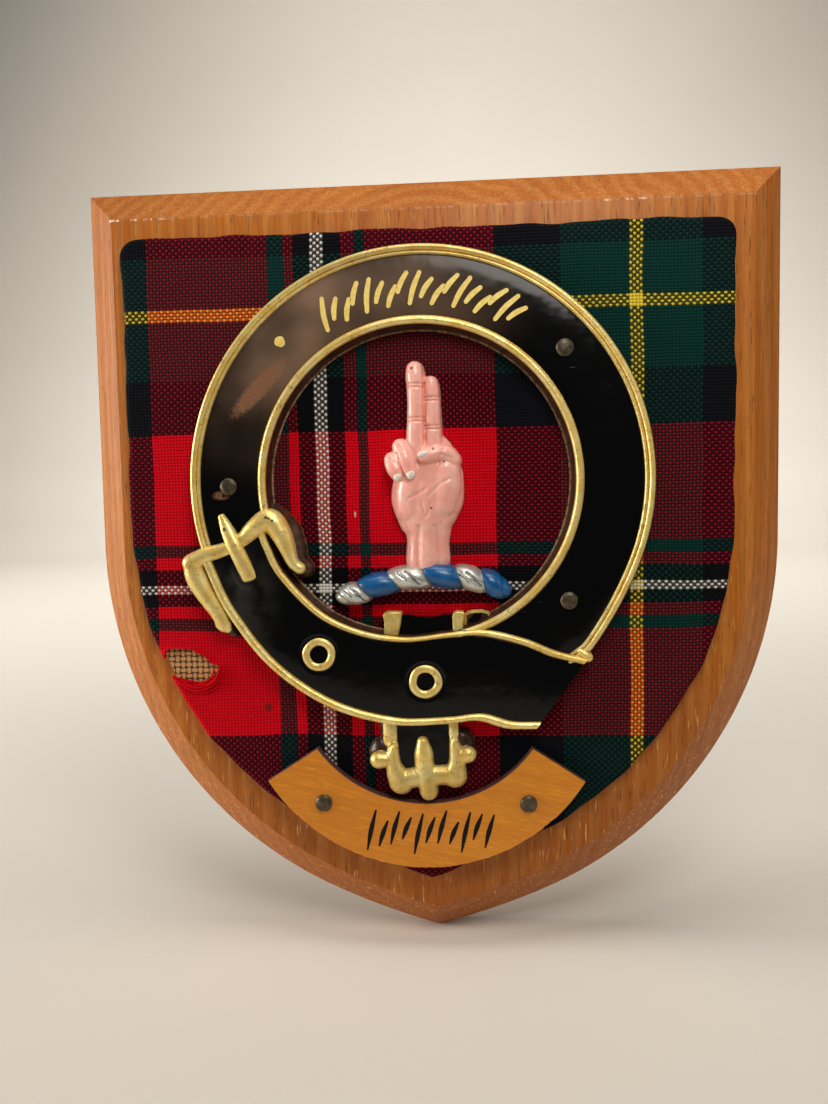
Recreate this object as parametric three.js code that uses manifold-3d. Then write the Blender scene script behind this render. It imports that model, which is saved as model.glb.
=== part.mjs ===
import * as THREE from 'three';
import { mergeVertices } from 'three/addons/utils/BufferGeometryUtils.js';
import Module from 'manifold-3d';

// A crest plaque that hangs on a wall: a bevelled oak shield carries a thin panel covered in tartan
// cloth, and on the cloth are a belt badge of pressed metal, a cast crest and a wooden name scroll.
// Millimetres, +Z up. The flat back lies in the plane y = 0 and the front faces -Y. The origin is the
// middle of the back. Places on the front are given as x, z and the height above the board's face.

const wasm = await Module();
wasm.setup();

// Driving dimensions of the layers, from the wall outwards
const boardThickness = 18;
const gap = 0.3;
const panelThickness = 3;
const clothThickness = 0.8;
const clothUnderside = gap + panelThickness + gap;
const clothFace = clothUnderside + clothThickness;
const mountingLevel = clothFace + gap;

// Outlines of the shields: straight sides, a flank arc through the turn, and a flatter arc to the tip
const boardShield = {
  halfWidth: 114.5, top: 126.6, shoulder: 7.6, flank: 133, turn: 65, tip: 230, corner: 0,
};
const clothShield = {
  halfWidth: 96.6, top: 106.6, shoulder: 15, flank: 115, turn: 60, tip: 230, corner: 5,
};
const clothOffset = -1.3;
const panelInset = clothThickness + gap;
const boardBevel = 12;
const boardEase = 0.8;

// The belt: a ring, and the strap that passes through the buckle and lies over the ring's lower part
const beltCentre = { x: -3, z: 27.4 };
const ringInner = 48.7;
const ringOuter = 73;
const ringTurn = { from: 196, to: -77 };
const ringSteps = 44;
const ringSpread = { start: -22, full: -45.5, growth: 2.6, fall: 0.12 };
const draft = 1.2;
const belt = { edge: 4.6, band: 4.9, crown: 0.4, bead: 1.3, groove: 0.2, narrowBead: 0.5 };
const ringBorder = { inner: 2.5, narrow: 1.3, outer: 2.1 };
const strapBorder = { inner: 2.2, narrow: 0, outer: 2.9 };
const strapLift = 1;
const strapSteps = 22;
const upperBorder = [[-52.4, 12.6], [-50.8, 8], [-46.3, -1], [-34.6, -13.2], [-22, -19.3], [-8, -21.6],
  [6, -20.2], [17, -19.5], [29.4, -22.4], [39, -26.3], [48.8, -28.8]];
const lowerBorder = [[-73.3, 5.6], [-71.6, 0.2], [-65.2, -13.6], [-51.6, -31.2], [-33.4, -43.8],
  [-13.8, -49.6], [3, -49.6], [14, -48.5], [23.4, -51], [32.5, -51.2]];
const eyelets = [[-35.8, -26.9], [-2, -35.8]];
const eyelet = { radius: 3.75, wire: 1.35, height: 5.4, bore: 2.5, depth: 3 };

// The crest. Its wreath is a twisted roll along an arch: the bounds are its ends and the waists between
// the six folds, and the slant shifts a waist along the roll for each unit across it
const fingerRadius = 2.7;
const wreathBounds = [-27.2, -21.3, -11.8, -1.5, 9, 16.7, 22.9];
const wreathArch = { x: 1.2, z: -2.6, fall: 0.0085 };
const wreathFold = { half: 3.8, height: 6.4 };
const wreathWaist = { half: 3.1, height: 5.3 };
const wreathSlant = 0.5;
const castFlare = 0.4;

// The name scroll, a piece of a ring
const scroll = { x: -3, innerZ: -33.7, inner: 42.5, outerZ: -37.6, outer: 60.3, thickness: 3 };
const scrollHalfAngle = { inner: 54.6, outer: 58.4 };

// Dome-headed nails
const nail = { head: 2.75, dome: 1.2, rim: 0.4, shank: 0.8, reach: 13, clearance: 0.35 };
const beltNails = [[-63.4, 26.9], [42.5, 67.2], [43.2, -10.6]];
const scrollNails = [[-36, -76.2], [30.2, -76.2]];

// Edges that joining leaves shorter than this are closed up
const detail = 0.04;
// How far castings and pressings run under the mounting level before they are cut off flat
const footDepth = 0.6;
// The angles at which the rings of a rounded end lie
const endLeans = [1.3, 0.7];

// Finishes
const finish = (color, roughness, metalness = 0) =>
  new THREE.MeshStandardMaterial({ color, roughness, metalness });
const oak = finish(0xa5612f, 0.45);
const hardboard = finish(0xb98a58, 0.9);
const tartan = finish(0x8c1226, 0.95);
const enamelled = finish(0xc9a94e, 0.35, 0.7);
const flesh = finish(0xdc8f7c, 0.3);
const orangeVarnish = finish(0xc07a30, 0.35);
const bronze = finish(0x4a4238, 0.45, 0.8);

// A place on the front: x, z and the height above the board's face
const spot = (x, z, height) => new THREE.Vector3(x, -(boardThickness + height), z);

// A point on a circle in the plane of the front, with the angle in degrees from +X towards +Z
function onCircle(x, z, radius, degrees) {
  const angle = THREE.MathUtils.degToRad(degrees);
  return new THREE.Vector2(x + radius * Math.cos(angle), z + radius * Math.sin(angle));
}

// Points of an arc in steps of equal angle
function arc(x, z, radius, from, to, steps) {
  return Array.from({ length: steps + 1 }, (_, i) => onCircle(x, z, radius, from + (to - from) * i / steps));
}

// The outline of a shield as a closed ring of points, set in from its full size
function shieldOutline({ halfWidth, top, shoulder, flank, turn, tip, corner }, inset = 0, shift = 0) {
  const flankCentre = halfWidth - flank;
  const tipCentre = onCircle(flankCentre, shoulder, flank - tip, -turn);
  const tipTurn = THREE.MathUtils.radToDeg(Math.acos(-tipCentre.x / (tip - inset)));
  const cornerPoints = corner > inset
    ? arc(halfWidth - corner, top - corner, corner - inset, 90, 0, 4)
    : [new THREE.Vector2(halfWidth - inset, top - inset)];
  const right = [
    ...cornerPoints,
    ...arc(flankCentre, shoulder, flank - inset, 0, -turn, 16),
    ...arc(tipCentre.x, tipCentre.y, tip - inset, -turn, -tipTurn, 4).slice(1),
  ];
  const left = right.slice(0, -1).reverse().map((p) => new THREE.Vector2(-p.x, p.y));
  return [...right, ...left].map((p) => new THREE.Vector2(p.x + shift, p.y));
}

// The triangles that close a ring of points; its own order gives the side that they face
function closeRing(ring, first) {
  const normal = new THREE.Vector3();
  ring.forEach((p, i) => {
    const q = ring[(i + 1) % ring.length];
    normal.x += (p.y - q.y) * (p.z + q.z);
    normal.y += (p.z - q.z) * (p.x + q.x);
    normal.z += (p.x - q.x) * (p.y + q.y);
  });
  const turn = new THREE.Quaternion().setFromUnitVectors(normal.normalize(), new THREE.Vector3(0, 0, 1));
  const flat = ring.map((p) => p.clone().applyQuaternion(turn)).map((p) => new THREE.Vector2(p.x, p.y));
  return THREE.ShapeUtils.triangulateShape(flat, []).flatMap(([a, b, c]) => {
    const area = (flat[b].x - flat[a].x) * (flat[c].y - flat[a].y)
      - (flat[c].x - flat[a].x) * (flat[b].y - flat[a].y);
    return (area > 0 ? [a, b, c] : [a, c, b]).map((i) => i + first);
  });
}

// A closed body through rings of points, each with the same count
function loft(rings) {
  const count = rings[0].length;
  const index = [];
  for (let row = 0; row < rings.length - 1; row++) {
    for (let i = 0; i < count; i++) {
      const here = row * count + i;
      const next = row * count + (i + 1) % count;
      index.push(here, next, next + count, here, next + count, here + count);
    }
  }
  const start = closeRing(rings[0], 0);
  index.push(...start.reverse(), ...closeRing(rings[rings.length - 1], (rings.length - 1) * count));
  const points = rings.flat();
  let volume = 0;
  for (let i = 0; i < index.length; i += 3) {
    const [a, b, c] = [points[index[i]], points[index[i + 1]], points[index[i + 2]]];
    volume += a.dot(b.clone().cross(c));
  }
  if (volume < 0) index.reverse();
  const geometry = new THREE.BufferGeometry().setFromPoints(points);
  geometry.setIndex(index);
  return asSolid(geometry);
}

// A solid from a closed geometry, and a geometry from a solid
function asSolid(geometry) {
  geometry.deleteAttribute('normal');
  geometry.deleteAttribute('uv');
  const merged = mergeVertices(geometry, 1e-4);
  return new wasm.Manifold(new wasm.Mesh({
    numProp: 3,
    vertProperties: new Float32Array(merged.attributes.position.array),
    triVerts: new Uint32Array(merged.index.array),
    tolerance: detail,
  }));
}

function asGeometry(solid) {
  const mesh = solid.getMesh();
  const geometry = new THREE.BufferGeometry();
  geometry.setAttribute('position', new THREE.BufferAttribute(new Float32Array(mesh.vertProperties), 3));
  geometry.setIndex(new THREE.BufferAttribute(new Uint32Array(mesh.triVerts), 1));
  return geometry;
}

// Metal castings and pressings are modelled a little deeper than they lie, then cut off flat
function cutFlat(solid) {
  const side = boardShield.halfWidth;
  const under = [[-side, -side], [side, -side], [side, side], [-side, side]];
  return solid.subtract(slab(outlineOf(under), mountingLevel - footDepth * 2, mountingLevel));
}

const join = (solids) => solids.reduce((whole, next) => whole.add(next));

// A flat piece with square edges, between two heights
const slab = (outline, low, high) =>
  loft([low, high].map((height) => outline.map((p) => spot(p.x, p.y, height))));

const outlineOf = (pairs) => pairs.map(([x, z]) => new THREE.Vector2(x, z));

// A straight-sided block on the mounting level, to a height above it
function block(left, right, bottom, top, height) {
  const outline = outlineOf([[left, bottom], [right, bottom], [right, top], [left, top]]);
  return slab(outline, mountingLevel - footDepth, mountingLevel + height);
}

// A round hole through the front, between two heights
function bore([x, z], radius, low, high) {
  return slab(arc(x, z, radius, 0, 315, 7), low, high);
}

// A form raised on the front: a round-topped section swept along a line, with rounded ends and a foot
// that flares outwards. Each station is x, z, half width and height above the mounting level. A slant
// leans the sections over along the line.
function raised(stations, { steps = 2, sides = 5, flare = draft, slant = 0 } = {}) {
  const foot = mountingLevel - footDepth;
  const line = new THREE.CatmullRomCurve3(stations.map(([x, z]) => new THREE.Vector3(x, z, 0)));
  const sizes = new THREE.CatmullRomCurve3(
    stations.map(([, , halfWidth, height], i) => new THREE.Vector3(halfWidth, height, i)));
  const total = (stations.length - 1) * steps;
  const rings = [];
  const addRing = (share, lean) => {
    const centre = line.getPoint(share);
    const along = line.getTangent(share);
    const size = sizes.getPoint(share);
    const shrink = Math.cos(lean);
    const top = mountingLevel + size.y;
    const round = Math.min(size.x, top - foot);
    const corner = (side, height, width) => {
      const across = side * width * shrink;
      const out = width * Math.sin(lean) - slant * across;
      return spot(centre.x + along.x * out - along.y * across, centre.y + along.y * out + along.x * across,
        height);
    };
    const ring = [corner(-1, foot, size.x + flare)];
    for (let i = 0; i <= sides; i++) {
      const angle = Math.PI * (1 - i / sides);
      ring.push(corner(Math.cos(angle), top - round + round * shrink * Math.sin(angle), size.x));
    }
    ring.push(corner(1, foot, size.x + flare));
    rings.push(ring);
  };
  endLeans.forEach((lean) => addRing(0, -lean));
  for (let i = 0; i <= total; i++) addRing(i / total, 0);
  [...endLeans].reverse().forEach((lean) => addRing(1, lean));
  return loft(rings);
}

// A belt's section between its two edges: foot, inner border bead, crowned band and outer border. The
// outer border has a narrow bead beside the wide one where the border names one. Each entry is the
// share of the width, a distance from there, and the height.
function beltSection(border, lift) {
  const edge = belt.edge + lift;
  const band = belt.band + lift;
  const bead = (share, start, width) => [1, 2, 3].map((i) => {
    const angle = Math.PI * i / 4;
    return [share, start + width * (1 - Math.cos(angle)) / 2, edge + belt.bead * Math.sin(angle)];
  });
  const narrowBead = [
    [1, -border.outer - border.narrow, band],
    [1, -border.outer - border.narrow / 2, band + belt.narrowBead],
    [1, -border.outer, band + belt.groove],
  ];
  return [
    [0, -draft, -footDepth],
    [0, 0, edge],
    ...bead(0, 0, border.inner),
    [0, border.inner, band],
    [0.5, 0, band + belt.crown],
    ...(border.narrow > 0 ? narrowBead : [[1, -border.outer, band]]),
    ...bead(1, -border.outer, border.outer),
    [1, 0, edge],
    [1, draft, -footDepth],
  ];
}

// A length of belt between two edge lines that have the same count of points
function beltBand(inner, outer, border, lift) {
  const section = beltSection(border, lift);
  return loft(inner.map((from, i) => {
    const across = outer[i].clone().sub(from);
    const width = across.length();
    across.normalize();
    return section.map(([share, distance, height]) => {
      const place = from.clone().addScaledVector(across, share * width + distance);
      return spot(place.x, place.y, mountingLevel + height);
    });
  }));
}

const splinePoints = (pairs, steps) => new THREE.SplineCurve(outlineOf(pairs)).getSpacedPoints(steps);

// The oak shield: flat back with an eased edge, straight edge, and a wide bevel up to the face
function makeBoard() {
  const rings = [
    [boardEase, -boardThickness],
    [0, boardEase - boardThickness],
    [0, -boardBevel],
    [boardBevel, 0],
  ].map(([inset, height]) => shieldOutline(boardShield, inset).map((p) => spot(p.x, p.y, height)));
  return loft(rings);
}

// The panel that the cloth is stretched over
function makePanel() {
  return slab(shieldOutline(clothShield, panelInset, clothOffset), gap, gap + panelThickness);
}

// The cloth: a skin over the panel's face and round its edge, with the torn hole at the lower left
function makeCloth() {
  const rings = [
    [0, gap],
    [0, clothUnderside - 0.2],
    [0.25, clothFace - 0.25],
    [0.9, clothFace],
  ].map(([inset, height]) =>
    shieldOutline(clothShield, inset, clothOffset).map((p) => spot(p.x, p.y, height)));
  const inside = slab(shieldOutline(clothShield, clothThickness, clothOffset), -gap, clothUnderside);
  const tear = outlineOf([[-94, -27.5], [-87, -25.9], [-79.8, -26.1], [-75, -28.4], [-70.1, -31.5],
    [-70.6, -33.5], [-73.2, -35.9], [-77.2, -37.1], [-83, -35.4], [-90, -35]]);
  return loft(rings).subtract(inside).subtract(slab(tear, -gap, clothFace + gap));
}

// The ring of the belt, from under the buckle over the top to under the strap's fold. At the lower
// right its outer line leaves the circle and runs out to the end of the strap's border.
function makeRing() {
  const { x, z } = beltCentre;
  const { from, to } = ringTurn;
  const outer = Array.from({ length: ringSteps + 1 }, (_, i) => {
    const turn = from + (to - from) * i / ringSteps;
    const { start, full, growth, fall } = ringSpread;
    const share = THREE.MathUtils.clamp((start - turn) / (start - full), 0, 1);
    return onCircle(x, z, ringOuter + growth * share ** 2 - fall * Math.max(full - turn, 0), turn);
  });
  return beltBand(arc(x, z, ringInner, from, to, ringSteps), outer, ringBorder, 0);
}

function makeStrap() {
  const [upper, lower] = [upperBorder, lowerBorder].map((pairs) => splinePoints(pairs, strapSteps));
  return beltBand(upper, lower, strapBorder, strapLift);
}

// The keeper inside the ring, where the strap's end passes behind: the strap, two clips and a flap
function makeKeeper() {
  return join([
    block(-11, 8, -24, -15.2, 2.6),
    block(-15.4, -9.6, -22, -13.7, 4),
    block(6.6, 10.6, -22, -13.7, 4),
    block(9, 19.5, -22, -14, 1.4),
  ]);
}

// The buckle: three bars of an open frame, a ball at the end, and the prong across it
function makeBuckle() {
  return join([
    raised([[-66.7, -17.6, 2.6, 5.8], [-68.4, -13.6, 2.7, 6.4], [-70.7, -9.8, 3, 6.8],
      [-73.2, -5.8, 3.4, 7.2], [-75.3, -1.6, 3.6, 7.5], [-76.4, 2.6, 3, 7.8]]),
    raised([[-76.6, 2.6, 2.8, 7.8], [-71.3, 5.2, 2.5, 8], [-65.3, 6.9, 2.5, 8.2], [-59.8, 9.6, 2.6, 8.2],
      [-55.7, 13.5, 2.9, 8.2], [-50.4, 16.4, 3.4, 8.2]]),
    raised([[-50.6, 16.2, 3.4, 8.2], [-47, 12.3, 3.1, 8.2], [-45.4, 8.2, 2.4, 7.8], [-44.2, 3.6, 1.4, 6.8]]),
    raised([[-42.6, 1.4, 1.9, 6.8], [-41.4, 0.6, 1.9, 6.8]]),
    raised([[-66, 17.4, 0.8, 6.4], [-64.7, 14, 1.7, 7.6], [-62.3, 9.2, 2.4, 9.4], [-59.8, 3.6, 2.7, 9],
      [-57.9, -0.7, 2.6, 8]]),
  ]);
}

// The strap's tail below the ring with its two clips, in a chape with two arms that end in lobes, an
// upright leaf between them, a drop, and on each side a ball with a low disc above it
function makeTail() {
  return join([
    block(-12, 5.4, -67, -47, 2.8),
    block(-16.4, -11, -57.4, -47, 3.6),
    block(4.6, 8.4, -55.5, -47, 3.6),
    raised([[-13.3, -57.6, 1.8, 4.6], [-13.1, -62, 2.3, 5.4], [-12.1, -65.8, 3.2, 5.8],
      [-10.6, -69.1, 4.2, 6]]),
    raised([[-14.5, -61.8, 1.8, 4.8], [-17.9, -61.8, 2.8, 5.4]]),
    raised([[-10.6, -68.8, 3.4, 5.9], [-5.8, -68.1, 2.8, 5.7], [2.2, -67.4, 2.8, 5.7],
      [6.7, -67.2, 3.4, 5.9]]),
    raised([[-3.4, -56.2, 1.8, 5], [-3.2, -59.5, 2.6, 5.8], [-2.6, -66.6, 3, 6.2]]),
    raised([[-2.2, -68, 3.2, 6.2], [-1.7, -71.8, 3, 6]]),
    raised([[6.8, -55.8, 1.7, 4.6], [7.1, -60.2, 2.1, 5.4], [7.2, -63.9, 3.2, 5.8], [6.7, -67.1, 4.1, 6]]),
    raised([[8, -60.6, 1.8, 4.8], [10.8, -60.2, 2.4, 5.4]]),
    raised([[-17.4, -60.2, 3.4, 2.6], [-16.8, -59, 3.4, 2.6]]),
    raised([[10.8, -57.2, 3.6, 2.6], [10.4, -56, 3.6, 2.6]]),
  ]);
}

function makeEyelet([x, z]) {
  const ring = new THREE.TorusGeometry(eyelet.radius, eyelet.wire, 6, 16);
  ring.rotateX(Math.PI / 2);
  const place = spot(x, z, mountingLevel + eyelet.height + strapLift);
  ring.translate(place.x, place.y, place.z);
  return asSolid(ring);
}

function makeBadge() {
  const rings = eyelets.map(makeEyelet);
  const body = join([makeRing(), makeStrap(), makeKeeper(), makeBuckle(), makeTail(), ...rings]);
  const top = mountingLevel + eyelet.height + 3;
  const holes = eyelets.map((place) => bore(place, eyelet.bore, mountingLevel + eyelet.depth, top));
  return cutFlat(body.subtract(join(holes)));
}

// The stations of the wreath's roll: a waist at each bound and a fold in the middle between two
function wreathStations() {
  const station = (x, { half, height }) => {
    const z = wreathArch.z - wreathArch.fall * (x - wreathArch.x) ** 2;
    return [x, z, half, height];
  };
  return wreathBounds.flatMap((x, i) => {
    const waist = station(x, wreathWaist);
    if (i === 0) return [waist];
    return [station((wreathBounds[i - 1] + x) / 2, wreathFold), waist];
  });
}

// The crest: a hand with two fingers raised, two folded and the thumb across, its wrist in the wreath
function makeCrest() {
  const cast = (stations, sides = 5, slant = 0) => raised(stations, { sides, slant, flare: castFlare });
  return cutFlat(join([
    cast([[-0.8, 1.8, 7, 5], [-0.6, 9.6, 6.6, 5.2], [-0.9, 15.6, 9.4, 6], [-0.5, 23, 11.4, 6.8],
      [0.1, 29.6, 10.9, 6.6], [-0.4, 34.2, 7.6, 6.2]], 8),
    cast([[-3.7, 38, fingerRadius, 6.2], [-3.6, 51, 2.5, 5.8], [-3.8, 62.2, 2.6, 5.4]]),
    cast([[1.5, 38, fingerRadius, 6], [1.5, 47, 2.5, 5.6], [1.2, 58, 2.2, 5]]),
    cast([[-8.6, 38.4, 2.5, 7], [-7.4, 34.9, 2.8, 8.6], [-5.5, 30.4, 2.4, 8.2]]),
    cast([[-11.4, 34.2, 2.3, 6.6], [-10.6, 31.7, 2.5, 7.8], [-9.6, 29.6, 2.2, 7.6]]),
    cast([[6.4, 36.2, 2.7, 6.4], [3.2, 35.8, 2.4, 8.4], [-1.3, 35, 1.8, 8.6]]),
    cast(wreathStations(), 5, wreathSlant),
  ]));
}

// The name scroll: sawn to an inner and an outer arc, with straight ends
function makeScroll() {
  const { x, innerZ, inner, outerZ, outer, thickness } = scroll;
  const outline = [
    ...arc(x, innerZ, inner, -90 - scrollHalfAngle.inner, -90 + scrollHalfAngle.inner, 22),
    ...arc(x, outerZ, outer, -90 + scrollHalfAngle.outer, -90 - scrollHalfAngle.outer, 22),
  ];
  return slab(outline, mountingLevel, mountingLevel + thickness);
}

// A nail with its head's underside at the origin and the dome towards -Y
function makeNail() {
  const { head, dome, rim, shank, reach } = nail;
  const profile = [[0, -reach], [shank, -reach + 1], [shank, 0], [head, 0], [head, rim],
    [head * 0.72, dome * 0.8], [head * 0.35, dome], [0, dome]];
  const geometry = new THREE.LatheGeometry(outlineOf(profile), 10);
  geometry.rotateX(Math.PI);
  return asSolid(geometry);
}

// Holes for the nails' shanks, from below their points up to a height
const nailHoles = (places, high) => join(places.map((place) =>
  bore(place, nail.shank + nail.clearance, high - nail.reach - gap, high)));

const plaque = new THREE.Group();
plaque.name = 'crest_plaque';

function place(name, solid, material, position = new THREE.Vector3()) {
  const mesh = new THREE.Mesh(asGeometry(solid), material);
  mesh.name = name;
  mesh.position.copy(position);
  plaque.add(mesh);
}

// The nails' shanks pass through the layers into the board with clearance all round
const beltNailLevel = mountingLevel + belt.band + belt.crown + gap;
const scrollNailLevel = mountingLevel + scroll.thickness + gap;
const beltHoles = nailHoles(beltNails, beltNailLevel + gap);
const scrollHoles = nailHoles(scrollNails, scrollNailLevel + gap);
const allHoles = beltHoles.add(scrollHoles);

place('shield_board', makeBoard().subtract(allHoles), oak);
place('backing_panel', makePanel().subtract(allHoles), hardboard);
place('tartan_cloth', makeCloth().subtract(allHoles), tartan);
place('belt_badge', makeBadge().subtract(beltHoles), enamelled);
place('crest_hand', makeCrest(), flesh);
place('name_scroll', makeScroll().subtract(scrollHoles), orangeVarnish);
beltNails.forEach(([x, z], i) => place(`belt_nail_${i + 1}`, makeNail(), bronze, spot(x, z, beltNailLevel)));
scrollNails.forEach(([x, z], i) =>
  place(`scroll_nail_${i + 1}`, makeNail(), bronze, spot(x, z, scrollNailLevel)));

export default plaque;
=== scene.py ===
# %% [markdown]
# # A crest plaque in Blender
#
# The plaque is a bevelled oak shield with a panel of tartan cloth, a belt badge of pressed and painted
# metal, a small cast hand on a wreath, and a wooden name scroll. The solid parts were modelled in
# millimetres beforehand. This script loads them as a fixed frame and dresses each of them with a finer
# skin and a finish of its own, so every piece sits exactly where its solid says.

# %% Load the frame
import math

import bmesh
import bpy
import numpy as np
from mathutils import Matrix, Vector, geometry


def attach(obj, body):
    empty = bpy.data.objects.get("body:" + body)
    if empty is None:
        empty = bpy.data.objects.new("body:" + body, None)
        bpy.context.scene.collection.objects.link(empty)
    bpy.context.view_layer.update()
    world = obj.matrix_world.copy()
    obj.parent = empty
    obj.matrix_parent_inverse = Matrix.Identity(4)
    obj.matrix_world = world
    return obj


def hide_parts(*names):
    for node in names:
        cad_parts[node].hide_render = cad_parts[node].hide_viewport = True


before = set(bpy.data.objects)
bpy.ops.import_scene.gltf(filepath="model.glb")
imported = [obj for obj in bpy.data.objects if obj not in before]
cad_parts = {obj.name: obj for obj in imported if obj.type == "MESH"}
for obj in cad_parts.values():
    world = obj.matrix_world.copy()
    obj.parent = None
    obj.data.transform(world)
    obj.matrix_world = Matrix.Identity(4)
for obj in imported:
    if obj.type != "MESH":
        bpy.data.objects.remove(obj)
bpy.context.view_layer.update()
print("the solids:", ", ".join(sorted(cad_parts)))

# %% [markdown]
# ## Measures
#
# It is easier to think of the plaque as a drawing seen from the front: x to the right, z up, and a
# height above the face of the board. Every piece below is written that way, in millimetres, and one
# function turns such points into metres in Blender's own axes, with the back at y = 0 and the front
# towards -y. The levels are those of the real layers: board, cloth, metal.

# %% Levels and places
BOARD = 18.0
CLOTH = 4.4
METAL = 4.7
BELT_CENTRE = np.array([-3.0, 27.4])
BELT_NAILS = [(-63.4, 26.9), (42.5, 67.2), (43.2, -10.6)]
SCROLL_NAILS = [(-36.0, -76.2), (30.2, -76.2)]
EYELETS = [(-35.8, -26.9), (-2.0, -35.8)]


def metres(points):
    """Points given as x, z and height above the board's face, in mm, as Blender's x, y, z in metres."""
    p = np.asarray(points, float)
    return np.column_stack([p[:, 0], -(BOARD + p[:, 2]), p[:, 1]]) / 1000


print("the board's face lies at y =", metres([(0, 0, 0)])[0][1])

# %% [markdown]
# ## Turning points into pieces
#
# Blender can build a mesh from plain lists of points and faces. That is the surest way to make forms
# that come from measurements. Faces may wear different finishes: each face has a material number.

# %% Make a piece
def new_piece(name, points, faces, finishes, numbers=None, sharp=38):
    """A mesh object from points in mm, with outward faces, smooth except where it turns sharply."""
    mesh = bpy.data.meshes.new(name)
    mesh.from_pydata(metres(points).tolist(), [], [list(f) for f in faces])
    for finish in finishes:
        mesh.materials.append(finish)
    if numbers is not None:
        mesh.polygons.foreach_set("material_index", np.asarray(numbers, np.int32))
    shape = bmesh.new()
    shape.from_mesh(mesh)
    bmesh.ops.recalc_face_normals(shape, faces=shape.faces)
    shape.to_mesh(mesh)
    shape.free()
    mesh.shade_smooth()
    mesh.set_sharp_from_angle(angle=math.radians(sharp))
    piece = bpy.data.objects.new(name, mesh)
    bpy.context.scene.collection.objects.link(piece)
    return piece


def settle(piece, slot, *nodes):
    """The piece rides on the plaque and stands for its solids; the slot is not used."""
    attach(piece, "root")
    if nodes:
        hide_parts(*nodes)
    print(piece.name, "has", len(piece.data.polygons), "faces")
    return piece


# %% [markdown]
# ## Lofts and swept bars
#
# Most forms here are sections carried along a line: the belt, the bars of the buckle, fingers, folds of
# cloth. A loft joins rings of points with the same count and closes the two ends. A bar is a loft with
# a round top on upright sides, whose width and height change from station to station.

# %% Lofts, smooth lines and bars
CAP_LEANS = (0.3, 0.6, 0.9, 1.2, 1.45)


def loft(rings):
    """Points and faces of a skin through rings of points; the faces run ring by ring, the ends last."""
    count = len(rings[0])
    faces = []
    for row in range(len(rings) - 1):
        for i in range(count):
            here, beside = row * count + i, row * count + (i + 1) % count
            faces.append((here, beside, beside + count, here + count))
    faces.append(tuple(range(count)))
    faces.append(tuple(range((len(rings) - 1) * count, len(rings) * count)))
    return np.vstack(rings), faces


def through(stations, count):
    """A smooth line through the stations, as evenly spaced points; extra columns are carried along."""
    p = np.asarray(stations, float)
    guide = np.vstack([2 * p[0] - p[1], p, 2 * p[-1] - p[-2]])
    fine = []
    for a, b, c, d in zip(guide, guide[1:], guide[2:], guide[3:]):
        for t in np.linspace(0, 1, 24, endpoint=False):
            bend = 2 * a - 5 * b + 4 * c - d + t * (3 * b - a - 3 * c + d)
            fine.append(b + 0.5 * t * (c - a + t * bend))
    fine = np.array(fine + [p[-1]])
    run = np.concatenate([[0], np.cumsum(np.linalg.norm(np.diff(fine[:, :2], axis=0), axis=1))])
    even = np.linspace(0, run[-1], count)
    return np.column_stack([np.interp(even, run, column) for column in fine.T])


def sideways(line):
    """Unit steps along a line and across it."""
    along = np.gradient(line[:, :2], axis=0)
    along /= np.linalg.norm(along, axis=1)[:, None]
    return along, np.column_stack([-along[:, 1], along[:, 0]])


def bar(stations, count=26, sides=12, flare=0.4, foot=-0.6, slant=0.0, cap=1.0):
    """A round-topped body along stations of x, z, half width and height above the cloth's level; a small
    cap makes its ends blunt."""
    line = through(stations, count)
    along, across = sideways(line)
    rings = []
    leans = [(0, -lean) for lean in CAP_LEANS[::-1]] + [(i, 0) for i in range(count)]
    leans += [(count - 1, lean) for lean in CAP_LEANS]
    for i, lean in leans:
        half, top = line[i, 2], line[i, 3]
        rise = min(half, top - foot)
        shrink, out = math.cos(lean), math.sin(lean)
        angles = np.linspace(math.pi, 0, sides + 1)
        side = np.concatenate([[-half - flare], half * np.cos(angles), [half + flare]])
        high = np.concatenate([[foot], top - rise + rise * shrink * np.sin(angles), [foot]])
        reach = np.full(len(side), half)
        reach[[0, -1]] += flare
        narrow = side * shrink ** (0.5 if cap < 1 else 1)
        forward = reach * out * cap - slant * narrow
        place = line[i, :2] + np.outer(narrow, across[i]) + np.outer(forward, along[i])
        rings.append(np.column_stack([place, METAL + high]))
    return loft(rings)


def fuse(bodies, voxel=0.35, rounds=4):
    """One skin over bodies that overlap, made with a voxel remesh and softened, as points and faces."""
    points, faces = [], []
    for p, f in bodies:
        first = sum(len(q) for q in points)
        points.append(p)
        faces += [tuple(i + first for i in face) for face in f]
    mesh = bpy.data.meshes.new("rough")
    mesh.from_pydata(np.vstack(points).tolist(), [], faces)
    shape = bmesh.new()
    shape.from_mesh(mesh)
    bmesh.ops.recalc_face_normals(shape, faces=shape.faces)
    shape.to_mesh(mesh)
    shape.free()
    rough = bpy.data.objects.new("rough", mesh)
    bpy.context.scene.collection.objects.link(rough)
    skin = rough.modifiers.new("skin", "REMESH")
    skin.mode = "VOXEL"
    skin.voxel_size = voxel
    soft = rough.modifiers.new("soften", "SMOOTH")
    soft.factor = 0.5
    soft.iterations = rounds
    made = rough.evaluated_get(bpy.context.evaluated_depsgraph_get()).to_mesh()
    points = np.empty(len(made.vertices) * 3)
    made.vertices.foreach_get("co", points)
    points = points.reshape(-1, 3).copy()
    faces = [tuple(p.vertices) for p in made.polygons]
    bpy.data.objects.remove(rough)
    points[:, 2] = np.maximum(points[:, 2], METAL)
    return points, faces


def middles(points, faces):
    """The middle of each face."""
    return np.array([points[list(f)].mean(0) for f in faces])


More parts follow.
